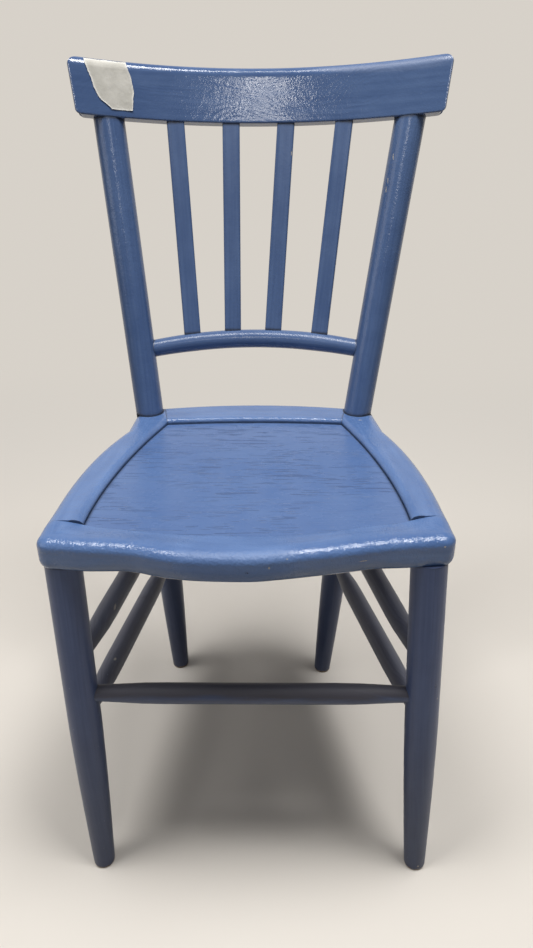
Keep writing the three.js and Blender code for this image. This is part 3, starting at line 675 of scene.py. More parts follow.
        stop = member.reach(member.length - 30.0, member.length + 30.0, below_crest)
        points = member.grid(start, stop)
        limit = top + BACK * (self.thick - POST_TOP_RADIUS)
        normal = unit(BACK * pared + UP * (2.0 * POST_TOP_RADIUS - self.thick))
        excess = np.clip((points - limit) @ normal, 0.0, None)
        points = points - excess[..., None] * BACK / float(BACK @ normal)
        name = f"back_post_{axes.side.label}"
        # dark end marks: dirt and painted contact shadow where the post meets the seat and the crest rail
        self.add(name, points, self.finish.post, "back_paint", end_marks(points, 2.2))

    def rail_line(self, share: np.ndarray) -> np.ndarray:
        """The lower back rail's middle line, from one post's axis to the other's."""
        left, right = (Axes(side).on_post(self.rail_height) for side in Side)
        bow = (1.0 - share**2)[..., None] * np.array(self.rail_bow)
        return left + (right - left) * ((share + 1.0) / 2.0)[..., None] + bow

    def _lower_rail(self) -> None:
        """The lower back rail, bowed, arched, and scribed to the posts."""
        around, let_in = 64, 0.5
        turn = np.linspace(0.0, 2.0 * np.pi, around, endpoint=False)

        def skin(share: np.ndarray) -> np.ndarray:
            """A circle carried along the rail's middle line, a little smaller near its ends."""
            tangent = unit(self.rail_line(share + 1e-3) - self.rail_line(share - 1e-3))
            side = unit(np.cross(tangent, UPRIGHT))
            radius = self.rail_radius - 0.9 * np.clip(np.abs(share) - 0.55, 0.0, 1.0) / 0.4
            offset = np.cos(turn)[..., None] * side + np.sin(turn)[..., None] * np.cross(side, tangent)
            return self.rail_line(share) + radius[..., None] * offset

        ends = []
        for side in Side:
            near, far = (np.full(around, share * side.value) for share in (1.0, 0.6))
            axis = Axes(side).post()
            inside = POST_RADIUS - let_in
            ends.append(leaving(near, far, lambda s: distance_to_axis(skin(s), *axis) < inside, 26))
        stations = ends[0] + (ends[1] - ends[0]) * np.linspace(0.0, 1.0, 220)[:, None]
        points = np.stack([skin(row) for row in stations])
        self.add("lower_back_rail", points, self.finish.lower_rail, "back_paint", end_marks(points, 1.8))

    def _slat(self, number: int, top_x: float, foot_x: float) -> None:
        """One flat slat with softened edges, from the lower rail up into the crest rail."""
        left, right = (Axes(side).on_post(self.rail_height) for side in Side)
        foot = self.rail_line(np.array([foot_x / ((right[0] - left[0]) / 2.0)]))[0]
        wide, thin = self.slat_half
        soft, let_in = 2.0, 6.0
        depth = 1.2 + thin - self.bend * (top_x / self.half) ** 2
        top = self.crest_origin + np.array([top_x, 0.0, 0.0]) + depth * BACK
        across = unit(np.array([1.0, -self.crest_slope(top_x), 0.0]))
        axis = unit(top - foot)
        through = unit(np.cross(axis, across))
        across = np.cross(through, axis)
        corner = quarter(6)
        loop = []
        for i, (sx, sy) in enumerate(((1, 1), (-1, 1), (-1, -1), (1, -1))):
            turn = corner + i * np.pi / 2
            middle = np.array([sx * (wide - soft), sy * (thin - soft)])
            loop.append(middle + soft * np.stack([np.cos(turn), np.sin(turn)], 1))
        loop = filled_ring(np.concatenate(loop), 6)
        along = np.linspace(let_in, np.linalg.norm(top - foot) + let_in, 200)
        points = foot + along[:, None, None] * axis + loop[None, :, :1] * across + loop[None, :, 1:] * through
        # dark end marks: painted contact shadow where the slat meets the crest rail and the lower rail
        marks = end_marks(points, 1.8, 5.0, 6.0)
        self.add(f"back_slat_{number}", points, self.finish.slat, "back_paint", marks)


@dataclass(frozen=True)
class Plan:
    """The seat's outlines seen from above.

    Half widths are measured from the middle line, and distances back in the frame of the feet. The
    rows of front_edge and front_seam hold a share of the half width and a distance back.
    """

    half: float = 185.0
    waist: float = 151.5
    ear_starts: float = 240.0
    middle_back: float = 150.0
    corner_radius: float = 13.0
    front_half: float = 172.0
    panel: float = 150.0
    rear_seam: float = 266.0
    front_edge: tuple[Pair, ...] = (
        (-1.0, -4.0), (-0.84, -8.0), (-0.6, -12.0), (-0.48, -18.2), (-0.38, -22.6),
        (-0.23, -26.0), (0.02, -27.0), (0.17, -23.8), (0.32, -19.2), (0.5, -13.0),
        (0.69, -5.6), (0.87, -0.8), (1.0, 2.0),
    )
    front_seam: tuple[Pair, ...] = (
        (-1.0, 28.5), (-0.8, 24.0), (-0.55, 16.8), (-0.25, 12.6),
        (0.15, 11.8), (0.45, 18.0), (0.72, 28.0), (1.0, 36.5),
    )

    def joint(self, x: np.ndarray) -> np.ndarray:
        """Where the side rails butt on the front rail."""
        return 33.0 + 0.027 * x

    def outer_half(self, y: np.ndarray, side: int) -> np.ndarray:
        """Half width of the seat's outer edge at a distance back."""
        t = np.clip(y / self.ear_starts, 0.0, 1.0)
        waist = self.waist + 2.0 * side
        flare = 4.0 * np.clip(1.0 - y / 60.0, 0.0, 1.0) ** 2
        return waist + (self.half - waist) * (1.0 - t**2.75) + flare

    def inside(self, points: np.ndarray) -> np.ndarray:
        """How far points are inside the seat's outline, seen from above; 0 outside it."""
        half = [np.concatenate([self.corner(s), self.side_outer(s)]) for s in (-1, 1)]
        edge = np.concatenate([*half, self.front_curve(300)])
        gaps = np.linalg.norm(points[..., None, :2] - edge, axis=-1)
        nearest = edge[gaps.argmin(-1)]
        inward = np.array([0.0, self.middle_back]) - nearest
        within = np.einsum("...i,...i->...", points[..., :2] - nearest, inward) > 0
        return np.where(within, gaps.min(-1), 0.0)

    def heel_rise(self, points: np.ndarray) -> np.ndarray:
        """How far the seat's rounded lower edge is above its underside over some points."""
        wide, high = HEEL
        return np.minimum(high * rounding(np.clip(1.0 - self.inside(points) / wide, 0.0, 1.0)), 2.4)

    def lip_drop(self, points: np.ndarray) -> np.ndarray:
        """How far the seat's rounded upper edge is below its top at some points."""
        wide, high = LIP
        return high * rounding(np.clip(1.0 - self.inside(points) / wide, 0.0, 1.0))

    def panel_half(self, y: np.ndarray) -> np.ndarray:
        """Half width of the panel at a distance back."""
        start = self.joint(0.0)
        t = np.clip((y - start) / (self.rear_seam - start), 0.0, 1.05)
        return self.panel - 44.7 * t**1.8

    def rear_inner(self, x: np.ndarray) -> np.ndarray:
        """The rear rail's inner edge."""
        return self.rear_seam + 6.0 * (1.0 - (x / 106.0) ** 2)

    def rear_outer(self, x: np.ndarray) -> np.ndarray:
        """The rear rail's outer edge."""
        return 312.0 + 12.0 * (1.0 - (x / 114.5) ** 2)

    def front_curve(self, count: int) -> np.ndarray:
        """The front edge between the two corners."""
        return spline(np.array(self.front_edge) * [self.front_half, 1.0], np.linspace(0.0, 1.0, count))

    def panel_front(self, x: np.ndarray) -> np.ndarray:
        """How far back the seam between the panel and the front rail is."""
        seam = spline(np.array(self.front_seam) * [self.panel, 1.0], np.linspace(0.0, 1.0, 800))
        return np.interp(x, seam[:, 0], seam[:, 1])

    def corner(self, side: int) -> np.ndarray:
        """A front corner from the front joint round to the front edge."""
        radius = self.corner_radius
        start = self.front_edge[0 if side < 0 else -1][1] + radius
        half = self.outer_half(np.array(start), side)
        y = np.linspace(self.joint(side * self.half) - 0.04, start, 10)[:-1]
        side_face = np.stack([self.outer_half(y, side), y], 1)
        round_part = arc((half - radius, start), (radius, -radius), 22)
        return np.concatenate([side_face, round_part]) * [side, 1.0]

    def side_outer(self, side: int) -> np.ndarray:
        """A side rail's outer edge from the front joint round the ear to the rear joint."""
        y = np.linspace(self.joint(side * self.half) + 0.04, self.ear_starts, 90)
        belly = np.stack([self.outer_half(y, side), y], 1)
        ear = arc((EAR_HALF, EAR_BACK), (EAR_RADIUS, EAR_RADIUS), 30)
        end = np.array([[114.65, 312.0]])
        return np.concatenate([belly, ear, end]) * [side, 1.0]

    def side_inner(self, side: int) -> np.ndarray:
        """A side rail's inner edge from the front joint to the rear joint."""
        y = np.linspace(self.joint(side * self.panel) + 0.04, self.rear_seam, 120)
        return np.stack([self.panel_half(y) + 0.3, y], 1) * [side, 1.0]


@dataclass
class RailLoft:
    """A seat rail as sections that run from its outer edge to its inner edge.

    Attributes:
        outer: points along the outer edge.
        inner: as many points along the inner edge.
        bead: how wide the rounding along the inner edge is.
        inner_top: the height to which that rounding comes down.
        lip: width and height of the rounded upper edge.
        heel: width and height of the rounded lower edge.
        ledge: how far the ledge under the panel reaches in.
    """

    outer: np.ndarray
    inner: np.ndarray
    bead: float
    inner_top: float
    lip: Pair = LIP
    heel: Pair = HEEL
    ledge: float = -8.0

    def section(self) -> np.ndarray:
        """Rows of share, outer offset, inner offset and height, once round the section."""
        turn = quarter(14)
        (lip, lip_high), (heel, heel_high) = self.lip, self.heel
        low, high = UNDERSIDE + heel_high, SEAT_HEIGHT - lip_high
        drop = SEAT_HEIGHT - self.inner_top
        rows = [[0.0, heel * (1.0 - np.sin(t)), 0.0, low - heel_high * np.cos(t)] for t in turn]
        rows += [[0.0, 0.0, 0.0, z] for z in np.linspace(low, high, 7)[1:-1]]
        rows += [[0.0, lip * (1.0 - np.cos(t)), 0.0, high + lip_high * np.sin(t)] for t in turn]
        rows += [[s, lip, self.bead, SEAT_HEIGHT] for s in np.linspace(0.0, 1.0, 12)[1:-1]]
        rows += [[1.0, lip, self.bead * (1.0 - np.sin(t)), self.inner_top + drop * np.cos(t)] for t in turn]
        rows += [[1.0, lip, 0.0, z] for z in (self.inner_top - 1.5, LEDGE_TOP + 0.4, LEDGE_TOP)]
        rows += [[1.0, lip, self.ledge / 2.0, LEDGE_TOP]]
        rows += [[1.0, lip, self.ledge, z] for z in (LEDGE_TOP, 418.0, UNDERSIDE)]
        rows += [[s, heel, self.ledge, UNDERSIDE] for s in np.linspace(1.0, 0.0, 10)[1:-1]]
        return np.array(rows)

    def marks(self, points: np.ndarray, joints: bool) -> np.ndarray:
        """Where the paint is darkened: along the panel's edge, and at the joints near it."""
        share, _, _, height = self.section().T
        edge = np.where(share > 0.99, np.clip((self.inner_top + 2.6 - height) / 2.6, 0.0, 1.0), 0.0)
        near = np.zeros(points.shape[:2])
        if joints:
            near[[0, -1]] = 0.75
            near = np.maximum(near, 0.72 * edge[None, :])
        return near

    def grid(self) -> np.ndarray:
        """The ring grid in the frame of the feet."""
        tangent = unit(np.gradient(self.outer, axis=0))
        normal = np.stack([-tangent[:, 1], tangent[:, 0]], 1)
        across = unit(self.inner - self.outer)
        normal = normal * np.sign(np.einsum("ij,ij->i", normal, across))[:, None]
        ends = np.minimum(np.arange(len(normal)), np.arange(len(normal))[::-1])
        blend = ease(ends / 6.0)[:, None]
        normal = unit(across * (1.0 - blend) + normal * blend)
        share, a, b, z = self.section().T
        near = self.outer[:, None] + normal[:, None] * a[None, :, None]
        far = self.inner[:, None] - across[:, None] * b[None, :, None]
        plan = near + (far - near) * share[None, :, None]
        return np.concatenate([plan, np.broadcast_to(z, plan.shape[:2])[..., None]], -1)


@dataclass
class Seat(Assembly):
    """Four rails round a thin panel.

    A bead is the width of a rail's inner rounding and the height that it comes down to. The front
    rail has a fuller lip and heel in the middle, where its top sinks by hollow: inside, at the edge.
    """

    plan: Plan = Plan()
    side_bead: Pair = (9.0, 435.6)
    rear_bead: Pair = (4.5, 436.0)
    front_bead: Pair = (0.2, 440.9)
    full_lip: Pair = (12.0, 11.0)
    full_heel: Pair = (10.0, 15.0)
    hollow: Pair = (6.0, 3.0)

    def build(self) -> None:
        """Makes the rails and the panel."""
        self._front()
        for side in Side:
            outer = evenly(self.plan.side_outer(side.value), 260)
            inner = self._matched(self.plan.side_inner(side.value), outer)
            loft = RailLoft(outer, inner, *self.side_bead)
            points = loft.grid()
            marks = loft.marks(points, True)
            marks[0] *= loft.section()[:, 0] > 0.8
            self.add(f"seat_rail_{side.label}", points, self.finish.seat, "seat_paint", marks)
        self._rear()
        self._panel()

    @staticmethod
    def _matched(line: np.ndarray, outer: np.ndarray) -> np.ndarray:
        """Inner points for outer points: the same share of Y, then of the way round the ear."""
        share = np.clip((outer[:, 1] - outer[0, 1]) / (outer[-1, 1] - outer[0, 1]), 0.0, 1.0)
        mixed = 0.75 * share + 0.25 * np.linspace(0.0, 1.0, len(outer))
        return at_shares(evenly(line, 400), np.maximum.accumulate(mixed))

    def _front(self) -> None:
        """The front rail, low in the middle where it meets the panel."""
        front = self.plan.front_curve(160)
        left, right = self.plan.corner(-1), self.plan.corner(1)[::-1]
        outer = np.concatenate([left, front[1:-1], right])
        across = np.linspace(-self.plan.panel, self.plan.panel, 400)
        seam = np.stack([across, self.plan.panel_front(across) - 0.03], 1)
        turned, end = len(left), 0.02
        corner = end * ease(np.linspace(0.0, 1.0, turned))
        share = np.concatenate([corner, np.linspace(end, 1.0 - end, len(front))[1:-1], 1.0 - end + corner])
        inner = at_shares(seam, share)
        loft = RailLoft(outer, inner, *self.front_bead)
        points = loft.grid()
        full = RailLoft(outer, inner, *self.front_bead, self.full_lip, self.full_heel).grid()
        points = full + (points - full) * ease((np.abs(outer[:, 0]) - 105.0) / 45.0)[:, None, None]
        share, _, inset, height = loft.section().T
        rise = ease((np.abs(points[..., 0]) - 138.0) / 38.0)
        front = (1.0 - ease(share)) * ease((self.plan.joint(points[..., 0]) - 0.1 - points[..., 1]) / 22.0)
        fall = self.hollow[0] * (1.0 - rise) * (1.0 - front) + self.hollow[1] * front
        level = (points[..., 2] - UNDERSIDE) / (SEAT_HEIGHT - UNDERSIDE)
        points[..., 2] -= fall * np.clip(2.0 * level - 1.0, 0.0, 1.0)
        ledge = (inset < 0.0) & (height > 415.0)
        points[:, ledge, 2] = np.minimum(points[:, ledge, 2], LEDGE_TOP)
        self.add("seat_rail_front", points, self.finish.seat, "seat_paint", loft.marks(points, False))

    def _rear(self) -> None:
        """The rear rail between the two ears."""
        x = np.linspace(-1.0, 1.0, 120)
        outer = np.stack([x * 114.35, self.plan.rear_outer(x * 114.35)], 1)
        inner = np.stack([x * 105.9, self.plan.rear_inner(x * 105.9) + 0.3], 1)
        loft = RailLoft(outer, inner, *self.rear_bead)
        points = loft.grid()
        self.add("seat_rail_rear", points, self.finish.seat, "seat_paint", loft.marks(points, True))

    def _panel(self) -> None:
        """The thin panel with slightly softened edges."""
        share = np.sin(np.linspace(-np.pi / 2, np.pi / 2, 150))
        front_y = self.plan.panel_front(share * self.plan.panel)
        v = np.sin(quarter(150))[:, None]
        y = front_y + (self.plan.rear_inner(share * 105.0) - front_y) * v
        half_left, half_right = self.plan.panel_half(y[:, :1]), self.plan.panel_half(y[:, -1:])
        side = (share[None, :] + 1.0) / 2.0
        x = -half_left * (1.0 - side) + half_right * side
        edge = np.minimum((1.0 - np.abs(share)[None, :]) * 130.0, (1.0 - v) * 240.0)
        softened = 0.5 * rounding(np.clip(1.0 - edge / 1.2, 0.0, 1.0))
        seam = 0.85 * np.exp(-((edge / 1.7) ** 2))
        top = np.stack([x, y, PANEL_TOP - softened], -1)
        low = np.stack([x, y, np.full_like(x, PANEL_LOW)], -1)
        points = np.concatenate([top, low[:, ::-1]], axis=1)
        marks = np.concatenate([seam, seam], axis=1)
        self.add("seat_panel", points, self.finish.panel, "seat_paint", marks)


Value = Union["Wire", float, tuple]
Method = Callable[["Wire", Value], "Wire"]


def operator(kind: str, swapped: bool = False) -> Method:
    """A method that adds the Math node of a kind, with its values swapped for a reflected form."""

    def method(self: "Wire", other: Value) -> "Wire":
        """The Math node's output."""
        values = (other, self) if swapped else (self, other)
        return self.shader.node("ShaderNodeMath", {"operation": kind}, *values)

    return method


@dataclass
class Wire:
    """A socket that takes part in sums; each operator adds the node that works it out."""

    shader: "Shader"
    socket: bpy.types.NodeSocket

    __add__ = __radd__ = operator("ADD")
    __mul__ = __rmul__ = operator("MULTIPLY")
    __sub__ = operator("SUBTRACT")
    __rsub__ = operator("SUBTRACT", swapped=True)
    least = operator("MINIMUM")
    most = operator("MAXIMUM")

    def step(self, low: float, high: float) -> "Wire":
        """A smooth step from 0 at low to 1 at high."""
        settings = {"interpolation_type": "SMOOTHSTEP"}
        return self.shader.node("ShaderNodeMapRange", settings, self, low, high, 0.0, 1.0)


class Shader:
    """One material's node tree, built from sums of sockets."""

    def __init__(self, name: str) -> None:
        """Starts a material with a surface and the coordinates that the finishes read."""
        self.material = bpy.data.materials.new(name)
        self.material.use_nodes = True
        self.tree = self.material.node_tree
        self.tree.nodes.clear()
        self.surface = self.tree.nodes.new("ShaderNodeBsdfPrincipled")
        self.output = self.tree.nodes.new("ShaderNodeOutputMaterial")
        self.feed(self.output.inputs["Surface"], Wire(self, self.surface.outputs["BSDF"]))
        self.place = self.node("ShaderNodeTexCoord", out=3)
        self.run = self.node("ShaderNodeUVMap", {"uv_map": "run"})
        self.seam, self.over = (
            self.node("ShaderNodeAttribute", {"attribute_name": name}, out=2) for name in ("seam", "over")
        )

    def node(self, kind: str, settings: Optional[dict] = None, *values: Value, out: int = 0) -> Wire:
        """Adds a node.

        Args:
            kind: the node's type.
            settings: properties set before the sockets.
            values: inputs in order.
            out: which output to return.

        Returns:
            The output as a wire.
        """
        made = self.tree.nodes.new(kind)
        for key, value in (settings or {}).items():
            setattr(made, key, value)
        for socket, value in zip([s for s in made.inputs if s.enabled], values):
            self.feed(socket, value)
        return Wire(self, [s for s in made.outputs if s.enabled][out])

    def feed(self, socket: bpy.types.NodeSocket, value: Value) -> None:
        """Links a wire to a socket or sets its value."""
        if isinstance(value, Wire):
            self.tree.links.new(value.socket, socket)
        elif isinstance(value, tuple) and socket.type == "RGBA":
            socket.default_value = (*value, 1.0)
        else:
            socket.default_value = value

    def set(self, **inputs: Value) -> None:
        """Feeds the surface's inputs, named with underscores for spaces."""
        for name, value in inputs.items():
            self.feed(self.surface.inputs[name.replace("_", " ")], value)

    def vector(self, kind: str, *values: Value) -> Wire:
        """A Vector Math node of a kind."""
        return self.node("ShaderNodeVectorMath", {"operation": kind}, *values)

    def scaled(self, vector: Wire, scale: Colour, offset: Colour = (0.0, 0.0, 0.0)) -> Wire:
        """A vector moved and then scaled."""
        return self.vector("MULTIPLY", self.vector("SUBTRACT", vector, offset), scale)

    def length(self, vector: Wire) -> Wire:
        """A vector's length."""
        return self.vector("LENGTH", vector)

    def noise(self, vector: Wire, scale: float, detail: float, rough: float, warp: float = 0.0) -> Wire:
        """Noise from 0 to 1."""
        return self.node("ShaderNodeTexNoise", {}, vector, scale, detail, rough, 2.0, warp)

    def mix(self, factor: Value, low: Union[Wire, Colour], high: Union[Wire, Colour]) -> Wire:
        """Two colours mixed."""
        return self.node("ShaderNodeMix", {"data_type": "RGBA"}, factor, low, high)

    def part(self, vector: Wire, which: int) -> Wire:
        """One component of a vector."""
        return self.node("ShaderNodeSeparateXYZ", {}, vector, out=which)

    def bump(self, height: Wire) -> Wire:
        """A bump of a height in metres."""
        made = self.tree.nodes.new("ShaderNodeBump")
        for name, value in (("Height", height), ("Distance", 1.0), ("Strength", 1.0)):
            self.feed(made.inputs[name], value)
        return Wire(self, made.outputs["Normal"])

    def spot(self, centre: Colour, size: Colour, ragged: float = 0.5) -> Wire:
        """1 inside a ragged spot and 0 outside it.

        Args:
            centre: its middle, in metres, in the part's frame.
            size: its half lengths along X, Y and Z.
            ragged: how much noise eats at its edge.

        Returns:
            The mask.
        """
        away = self.length(self.scaled(self.place, tuple(1.0 / s for s in size), centre))
        edge = self.noise(self.place, 1100.0, 3.0, 0.75) - 0.42
        return 1.0 - (away + edge * (5.0 * ragged)).step(0.7, 1.0)

    def spots(self, spots: tuple[Spot, ...], ragged: float) -> Wire:
        """The strongest of several spots."""
        whole, *others = [self.spot(centre, size, ragged) for centre, size in spots]
        for mask in others:
            whole = whole.most(mask)
        return whole


@dataclass
class Coat:
    """What a finish has come to so far, while one layer after another is laid on it."""

    shader: Shader
    colour: Wire
    height: Wire
    rough: Wire

    def lay(self, mask: Wire, colour: Colour, cover: float, rough: float = 0.0, depth: float = 0.0) -> None:
        """Lays a colour on what a mask shows.

        Args:
            mask: where it goes, from 0 to 1.
            colour: what is laid on.
            cover: how much of what is under it is hidden.
            rough: how much rougher it is.
            depth: how much lower it is, in metres.
        """
        hidden = mask if cover == 1.0 else mask * cover
        self.colour = self.shader.mix(hidden, self.colour, colour)
        if rough:
            self.rough = self.rough + mask * rough
        if depth:
            self.height = self.height - mask * depth


CRACK = (0.014, 0.026, 0.075)
GRAIN_LINE = (0.02, 0.028, 0.05)
GRIME = (0.028, 0.021, 0.016)
CRUST = (0.066, 0.056, 0.054)
# a darker tone laid towards the floor
NEAR_FLOOR_DARK = (0.01, 0.011, 0.014)
# dark joint colour: dirt, and painted contact shadow where slats and posts meet other parts
JOINT_DIRT_AND_SHADOW = (0.008, 0.009, 0.014)
SPECK = (0.3, 0.34, 0.42)
PALE_CHIP = (0.5, 0.47, 0.42)
DARK_CHIP = (0.025, 0.02, 0.022)
BARE_FOOT = (0.26, 0.2, 0.14)


@dataclass(frozen=True)
class Paint:
    """Thick brushed gloss paint and what use has done to it.

    Attributes:
        name: the material's name.
        deep: the colour where the paint is thick or in a hollow.
        pale: the colour where it is worn a little thinner.
        brush: how deep the brush marks are, in metres.
        peel: how deep the orange-peel texture is, in metres.
        streak: brush marks for each metre along them, and across them.
        dirt: how much brown-black dirt lies on it, from 0 to 1.
        specks: how many small specks it has, from 0 to 1.
        rough: how rough its gloss is.
        cracks: how strong the fine dark lines across it are.
        chips: middles and half sizes of pale chips.
        dark_chips: the same for dark ones.
        foot_wear: whether the lowest part is worn to wood.
        grain: how strong the fine lines along it are.
        top_dirt: how much dirt lies on what faces up.
        matte: middles and half sizes of places rubbed dull.
        arcs: how deep the curved grain under the paint shows, in metres.
        rings: middles and radii of dark lines round a round foot.
        low_dark: how much darker it is at the floor than at the seat.
        index: its refractive index, lower where dirt dulls it.
    """

    name: str
    deep: Colour
    pale: Colour
    brush: float = 0.00012
    peel: float = 0.00006
    streak: Pair = (9.0, 260.0)
    dirt: float = 0.1
    specks: float = 0.3
    rough: float = 0.24
    cracks: float = 0.0
    chips: tuple[Spot, ...] = ()
    dark_chips: tuple[Spot, ...] = ()
    foot_wear: bool = False
    grain: float = 0.0
    top_dirt: float = 0.0
    matte: tuple[Spot, ...] = ()
    arcs: float = 0.0
    rings: tuple[tuple[Colour, float], ...] = ()
    low_dark: float = 0.0
    index: float = 1.52

    def make(self) -> Finish:
        """Builds the material, layer by layer."""
        coat = self._base()
        layers = (
            (self.cracks, self._crack),
            (self.grain, self._grain),
            (self.arcs, self._arcs),
            (True, self._grime),
            (self.top_dirt, self._crust),
            (self.low_dark, self._darken_low),
            (True, self._joints),
            (True, self._specks),
            (True, self._damage),
            (self.foot_wear, self._wear_foot),
        )
        for wanted, layer in layers:
            if wanted:
                layer(coat)
        coat.shader.set(
            Base_Color=coat.colour,
            Roughness=coat.rough.most(0.12).least(0.9),
            Metallic=0.0,
            IOR=self.index,
            Normal=coat.shader.bump(coat.height),
        )
        return coat.shader.material

    def _base(self) -> Coat:
        """Clean paint: streaks along the piece, broad and small patches, and orange peel."""
        s = Shader(self.name)
        streaks = s.noise(s.scaled(s.run, (*self.streak, 1.0)), 1.0, 4.0, 0.6, 0.6)
        broad = s.noise(s.place, 9.0, 3.0, 0.5)
        patches = s.noise(s.place, 34.0, 4.0, 0.55)
        shade = (streaks * 0.45 + broad * 0.35 + patches * 0.2).step(0.3, 0.72)
        fine = s.noise(s.place, 520.0, 2.0, 0.55)
        coarse = s.noise(s.place, 130.0, 2.0, 0.5)
        height = streaks * self.brush + fine * self.peel + coarse * (self.peel * 1.6)
        rough = self.rough + (patches - 0.5) * 0.16 + (streaks - 0.5) * 0.1
        return Coat(s, s.mix(shade, self.deep, self.pale), height, rough)

    def _crack(self, coat: Coat) -> None:
        """Fine dark broken lines across the piece, and a fine grain in its height."""
        s = coat.shader
        line = s.noise(s.scaled(s.place, (38.0, 470.0, 38.0)), 1.0, 1.0, 0.5, 0.1)
        gate = s.noise(s.scaled(s.place, (8.0, 14.0, 8.0)), 1.0, 2.0, 0.5).step(0.35, 0.6)
        crack = line.step(0.6, 0.64) * (gate * 0.85 + 0.15) * self.cracks
        fine = s.noise(s.scaled(s.place, (30.0, 600.0, 30.0)), 1.0, 2.0, 0.6)
        coat.lay(crack, CRACK, 0.38, 0.2, 0.0003)
        coat.height = coat.height + fine * 0.00014

    def _grain(self, coat: Coat) -> None:
        """Fine dark lines along the piece."""
        s = coat.shader
        lines = s.noise(s.scaled(s.run, (6.0, 900.0, 1.0)), 1.0, 3.0, 0.65, 0.4)
        coat.lay(lines.step(0.58, 0.7) * self.grain, GRAIN_LINE, 0.5, depth=0.00008)

    def _arcs(self, coat: Coat) -> None:
        """Curved grain that shows through the paint: the sine of a stretched noise."""
        s = coat.shader
        rings = s.noise(s.scaled(s.place, (7.0, 7.0, 15.0)), 1.0, 2.0, 0.5, 0.4)
        wave = s.node("ShaderNodeMath", {"operation": "SINE"}, rings * 150.0)
        lumps = s.noise(s.place, 190.0, 3.0, 0.6, 0.5)
        coat.height = coat.height + wave * self.arcs + lumps * (self.arcs * 3.0)

    def _grime(self, coat: Coat) -> None:
        """Brown-black dirt in soft-edged patches."""
        s = coat.shader
        start = 0.78 - 0.42 * self.dirt
        grime = s.noise(s.place, 17.0, 5.0, 0.65, 0.5).step(start, start + 0.22) * self.dirt
        coat.colour = s.mix(grime.least(0.95), coat.colour, GRIME)
        coat.rough = coat.rough + grime * 0.3

    def _crust(self, coat: Coat) -> None:
        """Dirt on what faces up, with a ragged edge."""
        s = coat.shader
        ragged = s.over + (s.noise(s.scaled(s.run, (14.0, 120.0, 1.0)), 1.0, 4.0, 0.6) - 0.5) * 1.6
        coat.lay(ragged.step(-0.15, 0.55) * self.top_dirt, CRUST, 1.0, 0.22)

    def _darken_low(self, coat: Coat) -> None:
        """A darker tone towards the floor."""
        low = 1.0 - coat.shader.part(coat.shader.place, 2).step(0.02, 0.33)
        coat.lay(low, NEAR_FLOOR_DARK, self.low_dark)

    def _joints(self, coat: Coat) -> None:
        """Dark joints: dirt and painted contact shadow, also round the feet of the posts on the seat's top.
        """
        s = coat.shader
        seam = s.seam
        above = s.part(s.place, 2).step(0.433, 0.4345)
        for centre, radius in self.rings:
            flat = s.scaled(s.place, (1.0 / radius, 0.97 / radius, 0.0), centre)
            gap = s.node("ShaderNodeMath", {"operation": "ABSOLUTE"}, s.length(flat) - 1.0)
            seam = seam.most((1.0 - gap.step(0.03, 0.12)) * above)
        dark = (seam * (s.noise(s.place, 240.0, 2.0, 0.6) * 0.7 + 0.65)).least(1.0)
        coat.lay(dark, JOINT_DIRT_AND_SHADOW, 0.88, 0.3)

    def _specks(self, coat: Coat) -> None:
        """Small pale specks in some of the cells of a Voronoi pattern."""
        s = coat.shader
        near, cell = (s.node("ShaderNodeTexVoronoi", {}, s.place, 170.0, out=out) for out in (0, 2))
        picked = s.node("ShaderNodeTexWhiteNoise", {}, cell)
        chosen = picked.step(1.0 - 0.1 * self.specks, 1.0 - 0.09 * self.specks)
        coat.lay((1.0 - near.step(0.03, 0.13)) * chosen, SPECK, 0.4)

    def _damage(self, coat: Coat) -> None:
        """Places rubbed dull, pale chips and dark chips."""
        for centre, size in self.matte:
            coat.rough = coat.rough + coat.shader.spot(centre, size, 0.12) * 0.32
        for chips, ragged, colour, rough in (
            (self.chips, 0.5, PALE_CHIP, 0.4),
            (self.dark_chips, 0.8, DARK_CHIP, 0.35),
        ):
            if chips:
                coat.lay(coat.shader.spots(chips, ragged), colour, 0.9, rough, 0.0003)

    def _wear_foot(self, coat: Coat) -> None:
        """Bare wood on the lowest millimetres."""
        s = coat.shader
        worn = (s.part(s.place, 2) + s.noise(s.place, 260.0, 4.0, 0.7) * 0.009).step(0.006, 0.0085)
        coat.colour = s.mix(worn, BARE_FOOT, coat.colour)
        coat.rough = coat.rough + (1.0 - worn) * 0.4
        coat.height = coat.height + worn * 0.0002


def paper_finish() -> Finish:
    """Grey-cream paper with a paler torn rim and soft creases."""
    s = Shader("label paper")
    fibre = s.noise(s.place, 900.0, 4.0, 0.6)
    stain = s.noise(s.place, 60.0, 4.0, 0.6)
    colour = s.mix(stain.step(0.35, 0.7), (0.43, 0.418, 0.38), (0.54, 0.525, 0.485))
    colour = s.mix((fibre - 0.5) * 0.6 + 0.3, colour, (0.48, 0.47, 0.425))
    colour = s.mix(s.seam * 0.7, colour, (0.76, 0.75, 0.72))
    height = fibre * 0.00006 + s.noise(s.place, 110.0, 3.0, 0.5) * 0.0006
    s.set(Base_Color=colour, Roughness=0.75 + (fibre - 0.5) * 0.2, Normal=s.bump(height))
    return s.material


